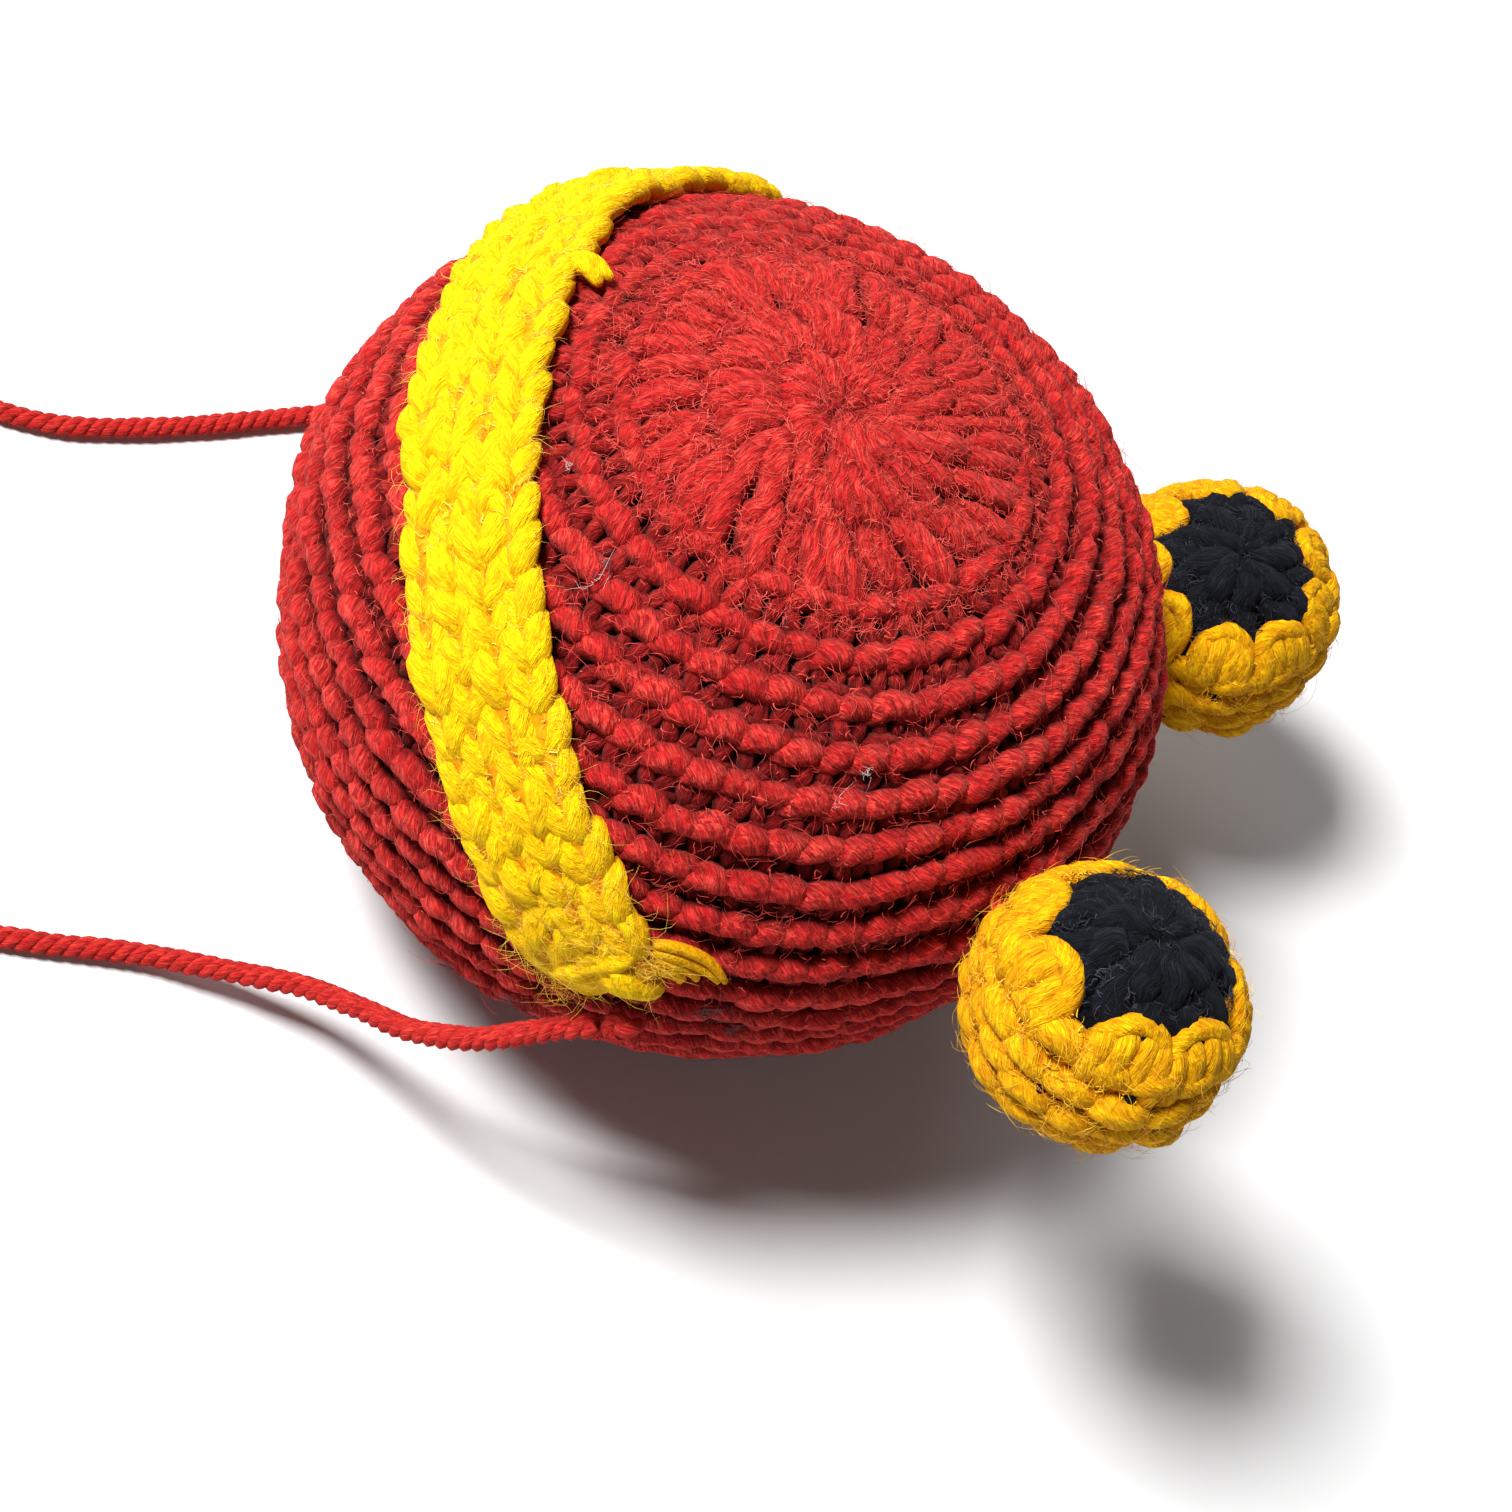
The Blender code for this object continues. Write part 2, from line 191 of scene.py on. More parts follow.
def yarnFinish(name, look):
    grain = yarnGrain
    finish = Finish(name, {"Roughness": grain["roughness"], "Specular IOR Level": grain["specular"],
                           "Sheen Weight": look["sheenWeight"], "Sheen Tint": look["sheen"],
                           "Sheen Roughness": grain["sheenRoughness"]})
    ways = finish.node("UVMap", {"uv_map": "yarnWay"})
    across = finish.node("SeparateXYZ", None, {0: ways}, 0)
    along = finish.node("SeparateXYZ", None, {0: ways}, 1)
    unshaded = finish.node("Attribute", {"attribute_name": "depth"}, None, 2)
    shade = finish.node("Attribute", {"attribute_name": "shade"}, None, 2)

    def streaks(which, detail):
        fine, run = grain[which]        # how many across a millimetre, and along it
        vector = finish.node("CombineXYZ", None, {0: across * fine, 1: along * run})
        return finish.node("TexNoise", None, {"Vector": vector, "Scale": 1.0, "Detail": detail,
                                              "Roughness": grain["streakRoughness"]})

    strayed = across + streaks("wander", 1.0) * grain["stray"]
    ply = (strayed * (fullTurn / grain["ply"])).wave() * 0.5 + 0.5
    fibre, hair = streaks("fibre", 2.0), streaks("hair", 1.0)
    blotch = streaks("blotch", 3.0).spread(0.40, 0.60)
    relief = ply * 0.5 + fibre.spread(0.3, 0.7) * 0.5 + hair.spread(0.3, 0.7) * 0.4 + blotch * 0.6
    # Painted shade: buried yarn, the inner side of each strand and its ply grooves take the deep colour;
    # random blotches darken it too.
    groove = ply.spread(-0.3, 0.55) * look["lines"] + fibre.spread(0.25, 0.62) * (1.0 - look["lines"])
    groove = groove * unshaded * (blotch * look["blotch"] + (1.0 - look["blotch"]))
    # Painted highlight: light fibre streaks on the exposed yarn.
    glint = fibre.spread(0.48, 0.72) * 0.6 + hair.spread(0.5, 0.75) * 0.5
    glint = glint * unshaded * shade * (blotch * 0.5 + 0.6)
    paint = finish.mix(groove, look["deep"], look["body"])
    paint = finish.mix(glint.held(), paint, look["lit"])
    bump = finish.node("Bump", None, {"Strength": grain["bump"], "Distance": grain["bumpDepth"],
                                      "Height": relief})
    return finish.show({"Base Color": paint, "Normal": bump})


# Matt stuff with no strands of its own: dark, light, roughness.
plainColours = {
    # The grounds colour the skins and the lining under the stitches dark: painted shade in the gaps between
    # them.
    "redShadeGround": (colour(0.02, 0.001, 0.001), colour(0.06, 0.002, 0.003), 0.9),
    "yellowShadeGround": (colour(0.50, 0.17, 0.0), colour(0.80, 0.36, 0.0), 0.9),
    "cupShadeGround": (colour(0.30, 0.10, 0.0), colour(0.55, 0.22, 0.0), 0.9),
    "redFuzz": (colour(0.48, 0.014, 0.014), colour(0.88, 0.12, 0.09), 0.7),
    "yellowFuzz": (colour(0.95, 0.5, 0.02), colour(1.0, 0.75, 0.12), 0.7),
    "cupFuzz": (colour(0.80, 0.30, 0.004), colour(1.0, 0.70, 0.05), 0.7),
    "blackFuzz": (colour(0.01, 0.01, 0.015), colour(0.05, 0.05, 0.07), 0.6),
    "paleLint": (colour(0.50, 0.42, 0.40), colour(0.78, 0.70, 0.66), 0.7),
    "darkLint": (colour(0.04, 0.035, 0.04), colour(0.13, 0.11, 0.12), 0.8),
    "pouch": (colour(0.02, 0.02, 0.022), colour(0.045, 0.045, 0.048), 0.9),
    "stuffing": (colour(0.03, 0.03, 0.035), colour(0.08, 0.08, 0.09), 0.9),
    "grain": (colour(0.35, 0.24, 0.1), colour(0.6, 0.46, 0.25), 0.6),
}
plainGrain = {"scale": 900.0, "detail": 3.0, "specular": 0.15, "bump": 0.6, "bumpDepth": 0.2 * mm}


def plainFinish(name, dark, light, roughness):
    finish = Finish(name, {"Roughness": roughness, "Specular IOR Level": plainGrain["specular"]})
    place = finish.node("TexCoord", None, None, 3)
    speck = finish.node("TexNoise", None, {"Vector": place, "Scale": plainGrain["scale"],
                                           "Detail": plainGrain["detail"]})
    bump = finish.node("Bump", None, {"Strength": plainGrain["bump"], "Distance": plainGrain["bumpDepth"],
                                      "Height": speck})
    paint = finish.mix(speck.spread(0.35, 0.65), dark, light)
    return finish.show({"Base Color": paint, "Normal": bump})


finishes = {name: yarnFinish(name + "YarnFinish", look) for name, look in yarnColours.items()}
finishes.update({name: plainFinish(name + "Finish", *look) for name, look in plainColours.items()})
print("finishes mixed")


def bends(count, samples):  # weights of a smooth curve through its points
    weights = np.zeros((samples, count))
    for row, reach in enumerate(np.linspace(0, count - 1, samples)):
        first = min(int(reach), count - 2)
        f = reach - first
        pulls = (-f + 2 * f ** 2 - f ** 3, 2 - 5 * f ** 2 + 3 * f ** 3,
                 f + 4 * f ** 2 - 3 * f ** 3, -f ** 2 + f ** 3)
        for step, pull in zip(range(first - 1, first + 3), pulls):
            weights[row, min(max(step, 0), count - 1)] += pull / 2
    return weights


def unit(vectors):
    return vectors / np.maximum(np.linalg.norm(vectors, axis=-1, keepdims=True), 1e-12)


def partWay(spots, run, points):    # points at these lengths along a line
    return np.stack([np.interp(spots, run, points[:, i]) for i in range(3)], -1)


def smooth(value, low, high):
    share = np.clip((value - low) / (high - low), 0, 1)
    return share * share * (3 - 2 * share)


def middleOf(node):
    low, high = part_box(node)
    return (np.array(low) + np.array(high)) / 2


def link(name, mesh, finish):
    mesh.materials.append(finishes[finish])
    piece = bpy.data.objects.new(name, mesh)
    bpy.context.scene.collection.objects.link(piece)
    return piece


def dress(piece, body, slot, *nodes):       # its body, a colour slot that is not used, and the CAD nodes it stands for
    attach(piece, body)
    if nodes:
        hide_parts(*nodes)
    return piece


# Painted shade on buried yarn: where it is darkest, in mm below the surface, and how far above that it has
# its full colour.
shadeDepthRange = {"deepest": 1.45, "span": 1.5}
bakeCell = {     # where each strand's skin lies in its cell of the baked picture
    "left": 0.05, "wide": 0.9, "low": 0.12, "tall": 0.83,
    "caps": ((0.25, 1), (0.75, -1)), "capRow": 0.05, "capWide": 0.12, "capTall": 0.03,
}


class YarnPile:
    # Gathers strands, hairs and loops of one piece, then makes its mesh.
    def __init__(self):
        self.groups = []

    def lay(self, centres, radius, up, sides=7, lean=0.0, sunk=None, shade=None):
        # centres: strands x rings x 3, radius: strands x rings
        count, rings = centres.shape[:2]
        radius = np.broadcast_to(radius, (count, rings))
        along = unit(np.gradient(centres, axis=1))
        side = unit(np.cross(along, np.broadcast_to(up, centres.shape)))
        out = np.cross(side, along)
        turn = np.arange(sides) * fullTurn / sides + math.pi / 2 + math.pi / sides
        reach = (side[:, :, None] * np.cos(turn)[None, None, :, None]
                 + out[:, :, None] * np.sin(turn)[None, None, :, None])
        points = centres[:, :, None] + reach * radius[:, :, None, None]
        steps = np.linalg.norm(np.diff(centres, axis=1), axis=2)
        length = np.concatenate([np.zeros((count, 1)), np.cumsum(steps, axis=1)], axis=1) / mm
        depth = np.ones((count, rings, sides))
        # Painted shade: deeper yarn and the inner side of each strand get a lower value, which the finish
        # turns into a deeper colour.
        if sunk is not None:
            height = sunk[:, :, None] + radius[:, :, None] / mm * np.sin(turn)[None, None]
            depth = np.clip((height + shadeDepthRange["deepest"]) / shadeDepthRange["span"], 0.0, 1.0)
        tone = np.ones(count) if shade is None else shade
        self.groups.append((points, length, radius / mm, lean, depth, tone))

    def make(self, name, finish):
        grid = math.ceil(math.sqrt(sum(len(group[0]) for group in self.groups)))
        allPoints, loops, starts, ways, bake, depths, tones = [], [], [], [], [], [], []
        base, loopBase, cell = 0, 0, 0
        for points, length, radius, lean, depth, tone in self.groups:
            count, rings, sides = points.shape[:3]
            number = base + np.arange(count * rings * sides).reshape(count, rings, sides)
            ringA, ringB = number[:, :-1], number[:, 1:]
            quads = np.stack([ringA, ringB, np.roll(ringB, -1, 2), np.roll(ringA, -1, 2)], -1)
            sideStep = np.arange(sides)[None, None, :, None] + np.array([0, 0, 1, 1])
            ringStep = np.arange(rings - 1)[None, :, None, None] + np.array([0, 1, 1, 0])
            sideStep, ringStep, strand = (np.broadcast_to(step, quads.shape) for step in (
                sideStep, ringStep, np.arange(count)[:, None, None, None]))
            shift = chance.uniform(0, 60, (count, 2))       # each strand has its own stretch of yarn
            around = sideStep / sides * (fullTurn * np.median(radius, axis=1))[strand]
            run = length[strand, ringStep]
            wayU = around * math.cos(lean) + run * math.sin(lean) + shift[strand, 0]
            wayV = run * math.cos(lean) - around * math.sin(lean) + shift[strand, 1]
            cells = cell + np.arange(count)
            column, row = cells % grid, cells // grid
            bakeU = column[strand] + bakeCell["left"] + bakeCell["wide"] * sideStep / sides
            bakeV = row[strand] + bakeCell["low"] + bakeCell["tall"] * ringStep / (rings - 1)
            loops += [quads.reshape(-1), number[:, 0].reshape(-1), number[:, -1, ::-1].reshape(-1)]
            sizes = np.concatenate([np.full(quads.size // 4, 4), np.full(2 * count, sides)])
            starts.append(loopBase + np.concatenate([[0], np.cumsum(sizes)[:-1]]))
            ways.append(np.stack([wayU, wayV], -1).reshape(-1, 2))
            bake.append(np.stack([bakeU, bakeV], -1).reshape(-1, 2) / grid)
            for spot, way in bakeCell["caps"]:
                rim = np.arange(sides) * fullTurn / sides * way
                disc = np.stack([spot + bakeCell["capWide"] * np.cos(rim),
                                 bakeCell["capRow"] + bakeCell["capTall"] * np.sin(rim)], -1)
                bake.append((np.stack([column, row], -1)[:, None] + disc[None]).reshape(-1, 2) / grid)
                ways.append((shift[:, None] + disc[None]).reshape(-1, 2))
            allPoints.append(points.reshape(-1, 3))
            depths.append(depth.reshape(-1))
            tones.append(np.repeat(tone, rings * sides))
            loopBase += int(sizes.sum())
            base += points.size // 3
            cell += count
        points, loops = footed(np.concatenate(allPoints)), np.concatenate(loops)
        starts = np.concatenate(starts)
        mesh = bpy.data.meshes.new(name)
        mesh.vertices.add(len(points))
        mesh.vertices.foreach_set("co", points.astype(np.float32).reshape(-1))
        mesh.loops.add(len(loops))
        mesh.loops.foreach_set("vertex_index", loops.astype(np.int32))
        mesh.polygons.add(len(starts))
        mesh.polygons.foreach_set("loop_start", starts.astype(np.int32))
        mesh.update(calc_edges=True)
        mesh.validate()
        mesh.polygons.foreach_set("use_smooth", np.ones(len(starts), bool))
        for title, values in (("OFBake", bake), ("yarnWay", ways)):
            layer = mesh.uv_layers.new(name=title)
            layer.data.foreach_set("uv", np.concatenate(values).astype(np.float32).reshape(-1))
        for title, values in (("depth", depths), ("shade", tones)):
            layer = mesh.attributes.new(title, "FLOAT", "POINT")
            layer.data.foreach_set("value", np.concatenate(values).astype(np.float32))
        return link(name, mesh, finish)


def scattered(path, count, each, together):     # copies of a path, each point and each copy a little off
    paths = np.broadcast_to(path, (count,) + path.shape).copy()
    paths += chance.normal(0, 1, paths.shape) * np.array(each)
    if together is not None:
        paths += chance.normal(0, 1, (count, 1, 3)) * np.array(together)
    return paths


def layThreads(pile, paths, place, size, girth, rings, sides, lean, uneven, dullest):
    # place turns smoothed paths into centres, the way out and how deep they lie
    run = np.einsum("mc,ncd->nmd", bends(paths.shape[1], rings), paths)
    centres, out, sunk = place(run)
    share = np.interp(np.linspace(0, 1, rings), np.linspace(0, 1, len(girth)), girth)
    size = size * share[None] * chance.normal(1, uneven, (len(paths), 1))
    tones = chance.uniform(dullest, 1.0, len(paths))
    pile.lay(centres, size, out, sides, math.radians(lean), sunk, tones)


hairTaper = np.array([1.0, 0.95, 0.8, 0.6, 0.25])


def hairs(pile, roots, out, spread, length, radius, lift, wiggle=0.14):
    # Fine loose fibres that start on a surface and curl along and off it.
    count = len(roots)
    flow = chance.normal(size=(count, 3))
    flow = unit(flow - out * (flow * out).sum(-1, keepdims=True))
    curl = unit(np.cross(out, flow)) * chance.normal(0, spread, (count, 1))
    reach = chance.uniform(length[0], length[1], (count, 1)) * chance.uniform(0.4, 1, (count, 1))
    rise = chance.uniform(lift[0], lift[1], (count, 1))
    side = unit(np.cross(out, flow)) * chance.uniform(0.4, 1.6, (count, 1)) * wiggle
    phase = chance.uniform(0, 6.3, (count, 1))
    paths = []
    for f in np.linspace(0, 1, len(hairTaper)):
        drift = flow * f + curl * f * f + side * (np.sin(5 * f + phase) - np.sin(phase))
        paths.append(roots + drift * reach + out * rise * f * (1.6 - f) * reach)
    paths = np.stack(paths, 1)
    paths[..., 2] = np.maximum(paths[..., 2], 0.1 * mm)
    pile.lay(paths, np.broadcast_to(radius * hairTaper, paths.shape[:2]), out[:, None], sides=3)


def halves(above):      # the power and the reach of the crown or of the belly
    return (np.where(above, ball["crownPower"], ball["bellyPower"]),
            np.where(above, ball["crown"], ball["belly"]))


def makeProfile():      # the ball's outline from crown to foot: length run, radius, height, way out
    turn = np.linspace(0, math.pi, 6001)
    power, reach = halves(turn <= math.pi / 2)
    radius = ball["radius"] * np.abs(np.sin(turn)) ** (2 / power)
    height = np.sign(np.cos(turn)) * reach * np.abs(np.cos(turn)) ** (2 / power)
    arc = np.concatenate([[0], np.cumsum(np.hypot(np.diff(radius), np.diff(height)))])
    along = unit(np.gradient(np.stack([radius, height], -1), axis=0))
    return arc, radius, height, -along[:, 1], along[:, 0]


profile = makeProfile()
girthArc = profile[0][-1]


def profileAt(arc):
    arc = np.clip(arc, 0, girthArc)
    return [np.interp(arc, profile[0], column) for column in profile[1:]]


def footed(points):  # squeezes what lies under the ball onto the floor
    low = ball["footing"]
    height = points[..., 2]
    points[..., 2] = np.where(height < low, low * np.exp(np.minimum(height - low, 0) / low), height)
    return points


def coverPlace(turn, arc, height):
    radius, rise, outR, outZ = profileAt(arc)
    lump = (np.sin(3 * turn + 1.0) * np.sin(arc / mm * 0.11) + 0.6 * np.sin(7 * turn + arc / mm * 0.19)
            + 0.4 * np.sin(13 * turn - arc / mm * 0.31)) * ball["lump"]
    height = height + lump * np.clip(arc / ball["lumpFrom"], 0, 1)
    across = radius + height * outR
    points = np.stack([across * np.cos(turn), across * np.sin(turn),
                       ball["middle"] + rise + height * outZ], -1)
    out = np.stack([outR * np.cos(turn), outR * np.sin(turn), outZ], -1)
    return footed(points), out


def steepness(local):
    power, reach = halves(local[..., 2] > 0)
    across = np.hypot(local[..., 0], local[..., 1])
    value = (across / ball["radius"]) ** power + (np.abs(local[..., 2]) / reach) ** power - 1
    sideways = power * (across / ball["radius"]) ** (power - 1) / ball["radius"]
    upward = power * (np.abs(local[..., 2]) / reach) ** (power - 1) / reach * np.sign(local[..., 2])
    ring = local[..., :2] / np.maximum(across, 1e-9)[..., None]
    return value, np.concatenate([ring * sideways[..., None], upward[..., None]], -1)


def onBall(points):
    local = points - np.array(ballMiddle)
    for _ in range(8):
        value, slope = steepness(local)
        local = local - slope * (value / (slope ** 2).sum(-1))[..., None]
    return local + np.array(ballMiddle), unit(steepness(local)[1])


cover = {
    "firstRow": 1.85 * mm, "rowStep": 3.75 * mm, "stitchWide": 2.86 * mm,
    "yarn": 1.02 * mm, "back": 0.68 * mm, "leg": 0.80 * mm, "ground": -1.85 * mm,
    "shift": 0.42,      # how far each round's stitches move on from the last, in stitches
    "loose": (4, 7),    # looser rounds beside the crown, with small holes between the legs
    "backFrom": (6, 36 * mm),       # back strands show from this round to this far from the crown
    "each": (0.035, 0.11, 0.09), "together": (0.04, 0.13, 0.10),
    "pieces": {"coverCrown": (4, 8), "coverShoulder": (9, 12), "coverUpper": (13, 16),
               "coverLower": (17, 21), "coverBase": (22, 27)},
    # crown stitches: first and last arc, how many, swirl, radius, heights along them
    "petals": ((0.2, 6.4, 17, 0.55, 1.25, (-1.70, -1.40, -2.0)),
               (4.4, 11.4, 31, 0.24, 1.25, (-2.2, -1.28, -2.05)),
               (9.6, 17.0, 46, 0.14, 1.2, (-2.3, -1.22, -2.1))),
    "petalGirth": (0.5, 0.75, 0.85, 0.95, 1, 1, 1, 0.95, 0.8, 0.45),
}
# Paths of one stitch: along the round in stitches, down the ball and out of it in mm.
ridgePath = np.array([(-0.70, 0.85, -2.3), (-0.54, 0.52, -1.50), (-0.32, 0.14, -1.10), (-0.04, -0.16, -0.96),
                      (0.26, -0.22, -1.02), (0.52, 0.0, -1.32), (0.72, 0.36, -2.1)])
ridgeGirth = np.array([0.45, 0.85, 1.04, 1.14, 1.17, 1.14, 1.06, 0.88, 0.50])
backPath = np.array([(-0.60, -0.75, -2.1), (-0.30, -1.10, -1.62), (0.02, -1.22, -1.5), (0.34, -1.10, -1.62),
                     (0.60, -0.85, -2.1)])
legPaths = (np.array([(-0.36, 0.30, -1.75), (-0.34, 1.10, -1.48), (-0.20, 2.15, -1.60),
                      (-0.05, 3.30, -2.15)]),
            np.array([(0.34, 0.30, -1.85), (0.29, 1.15, -1.52), (0.22, 2.15, -1.64), (0.13, 3.30, -2.20)]))
legGirth = np.array([0.7, 1.0, 1.05, 1.0, 0.6])


def nearTurn(turn, middle, wide):  # 1 near one side of the ball, falling to 0
    gap = np.abs((turn - math.radians(middle) + math.pi) % fullTurn - math.pi)
    return 1 - smooth(gap, math.radians(wide) * 0.5, math.radians(wide))


def pulledArc(turn, arc):  # rows drawn up beside the near small ball
    pull = nearTurn(turn, -22, 42) * np.exp(-((arc / mm - 41) / 8) ** 2)
    return arc - 1.4 * mm * pull


def coverStrands(pile, path, girth, starts, row, wide, radius, rings, sides, lean, jitter, raised):
    def place(run):
        turn = starts[:, None] + run[..., 0] * wide
        arc = pulledArc(turn, row + run[..., 1] * mm)
        return *coverPlace(turn, arc, run[..., 2] * mm), run[..., 2]

    each, together = np.array(cover["each"]) * jitter, np.array(cover["together"]) * jitter
    paths = scattered(path, len(starts), each, together)
    paths[..., 2] += raised[:, None]
    layThreads(pile, paths, place, radius, girth, rings, sides, lean, 0.055, 0.45)


def coverRound(pile, index):
    row = cover["firstRow"] + index * cover["rowStep"]
    count = max(6, round(fullTurn * profileAt(row)[0] / cover["stitchWide"]))
    wide = fullTurn / count
    starts = (np.arange(count) + cover["shift"] * index) * wide
    starts = starts + chance.normal(0, 0.05, count) * wide
    vee = nearTurn(starts, 165, 75) * (1 - smooth(row / mm, 27, 40))  # flatter stitches beside the band
    vee = np.maximum(vee, 0.6 * (1 - smooth(row / mm, 16, 24)))
    # Lower rows sink their back strands and legs deeper; besides the relief this deepens their colour:
    # painted shade toward the bottom of the ball.
    steep = smooth(row / mm, 26, 42)
    coverStrands(pile, ridgePath, ridgeGirth, starts, row, wide, cover["yarn"], 9, 7, 66, 1.0, -0.35 * vee)
    if index >= cover["backFrom"][0] and row < cover["backFrom"][1]:
        coverStrands(pile, backPath, legGirth, starts + 0.3 * wide, row, wide, cover["back"], 6, 6, 55, 1.0,
                     0 * vee - 0.5 * steep)
    loose = cover["loose"][0] <= index <= cover["loose"][1]
    legSize = cover["leg"] * (0.9 if loose else 1 + 0.15 * vee.mean())
    for leg in legPaths:
        coverStrands(pile, leg, legGirth, starts, row, wide, legSize, 5, 6, 24, 0.8,
                     0.42 * vee - 0.25 * steep)


def coverPetals(pile, first, last, count, swirl, radius, rise):
    starts = (np.arange(count) + chance.normal(0, 0.2, count)) * fullTurn / count
    shares = np.linspace(0, 1, 6)
    heights = np.array([rise[0], rise[1] - 0.1, rise[1], rise[1] + 0.08, rise[1] - 0.12, rise[2]])
    paths = np.zeros((count, 6, 3))
    paths[..., 0] = swirl * shares ** 1.4 + chance.normal(0, 0.02, (count, 6)) + starts[:, None]
    paths[..., 1] = (first + (last - first) * shares + chance.normal(0, 0.55, (count, 1))) * mm
    paths[..., 2] = heights + chance.normal(0, 0.07, (count, 6)) + chance.normal(0, 0.13, (count, 1))
    run = np.einsum("mc,ncd->nmd", bends(6, len(cover["petalGirth"])), paths)
    arc = np.maximum(run[..., 1], 0.25 * mm)
    centres, out = coverPlace(run[..., 0], arc, run[..., 2] * mm)
    widest = fullTurn * profileAt(arc)[0] / count * 0.75 + 0.35 * mm
    size = np.minimum(radius * mm * np.array(cover["petalGirth"]), widest)
    pile.lay(centres, size * chance.normal(1, 0.06, (count, 1)), out, 7, math.radians(28),
             run[..., 2] + 0.25, chance.uniform(0.5, 1.0, count))


def makeGround(name, rows, columns, height, place, finish):
    # A closed skin under the stitches, from one pole to the other; its dark finish is painted shade in the
    # gaps.
    arcs = np.linspace(0, 1, rows + 1)[1:-1]
    turns = np.arange(columns) * 2 * math.pi / columns
    turn, share = np.meshgrid(turns, arcs)
    body, _ = place(turn, share, height)
    ends = [place(np.zeros(1), np.full(1, share), height)[0][0] for share in (0.0, 1.0)]
    points = [tuple(p) for p in body.reshape(-1, 3)] + [tuple(p) for p in ends]
    faces = []
    last = len(arcs) - 1
    for column in range(columns):
        following = (column + 1) % columns
        for line in range(last):
            a, b = line * columns, (line + 1) * columns
            faces.append((a + column, b + column, b + following, a + following))
        faces.append((len(points) - 2, column, following))
        faces.append((last * columns + column, len(points) - 1, last * columns + following))
    mesh = bpy.data.meshes.new(name)
    mesh.from_pydata(points, [], faces)
    mesh.polygons.foreach_set("use_smooth", np.ones(len(faces), bool))
    return link(name, mesh, finish)


def makeCover():
    def place(turn, share, height):
        return coverPlace(turn, share * girthArc, height)

    ground = makeGround("coverGround", 64, 96, cover["ground"], place, "redShadeGround")
    dress(ground, "ball", "red_yarn", "main_cover")
    for name, (first, last) in cover["pieces"].items():
        pile = YarnPile()
        if name == "coverCrown":
            for petals in cover["petals"]:
                coverPetals(pile, *petals)
        for index in range(first, last + 1):
            coverRound(pile, index)
        stoodFor = ["cover_closing"] if name == "coverBase" else []
        dress(pile.make(name, "red"), "ball", "red_yarn", *stoodFor)


lints = {   # where stray fibres lie: turn, arc, how many, how long, how wide a clump
    "paleLint": {"thick": 0.019 * mm, "clumps": (
        (-137.0, 21.7, 7, 0.5, 0.15), (-114.5, 24.3, 6, 1.6, 0.45), (-57.9, 29.1, 13, 0.7, 0.25),
        (-61.5, 31.2, 4, 1.4, 0.35))},
    "darkLint": {"thick": 0.028 * mm, "clumps": (
        (-116.0, 23.6, 26, 0.9, 0.35), (-69.4, 52.6, 22, 1.4, 0.5), (-65.5, 55.0, 16, 1.2, 0.4),
        (-90.0, 64.0, 20, 2.6, 0.8))},
}


def makeLint():
    for name, lint in lints.items():
        pile = YarnPile()
        for turn, arc, count, span, wide in lint["clumps"]:
            turns = math.radians(turn) + chance.normal(0, wide * mm, count) / ball["radius"]
            arcs = arc * mm + chance.normal(0, wide * mm, count)
            roots, out = coverPlace(turns, arcs, np.full(count, 0.25 * mm))
            hairs(pile, roots, out, 1.6, (0.5 * span * mm, span * mm), lint["thick"], (0.05, 0.4), 0.3)
        dress(pile.make(name + "Bits", name), "ball", "red_yarn")


coverFuzz = {
    # piece: from and to which arc in mm, how many short hairs, how many long ones
    "pieces": {"coverFuzz": (0, 44, 5400, 500), "crownFuzz": (0, 19, 3600, 200),
               "coverFuzzLower": (44, 98, 5600, 500)},
    "strokes": 1500,                # thicker fibres that lie on the yarn
    "rootHeight": (-0.9, 0.0),
    # length, thickness and lift of each kind
    "short": ((0.7, 2.6), 0.024, (0.02, 0.5)), "long": ((2.5, 5.5), 0.021, (0.05, 0.6)),
    "stroke": ((0.4, 1.4), 0.052, (-0.02, 0.15)),
}


def makeCoverFuzz(name, low, high, short, long):
    pile = YarnPile()
    for kind, count in (("short", short), ("long", long), ("stroke", coverFuzz["strokes"])):
        span, thick, lift = coverFuzz[kind]
        arc = chance.uniform(low, high, count * 4) * mm
        keep = chance.uniform(0, 1, count * 4) < profileAt(arc)[0] / ball["radius"]
        arc = arc[keep][:count]
        turn = chance.uniform(0, fullTurn, len(arc))
        roots, out = coverPlace(turn, arc, chance.uniform(*coverFuzz["rootHeight"], len(arc)) * mm)
        hairs(pile, roots, out, 0.35, (span[0] * mm, span[1] * mm), thick * mm, lift, 0.09)
    dress(pile.make(name, "redFuzz"), "ball", "red_yarn")


makeCover()
makeLint()
for name, facts in coverFuzz["pieces"].items():
    makeCoverFuzz(name, *facts)
print("red cover made")


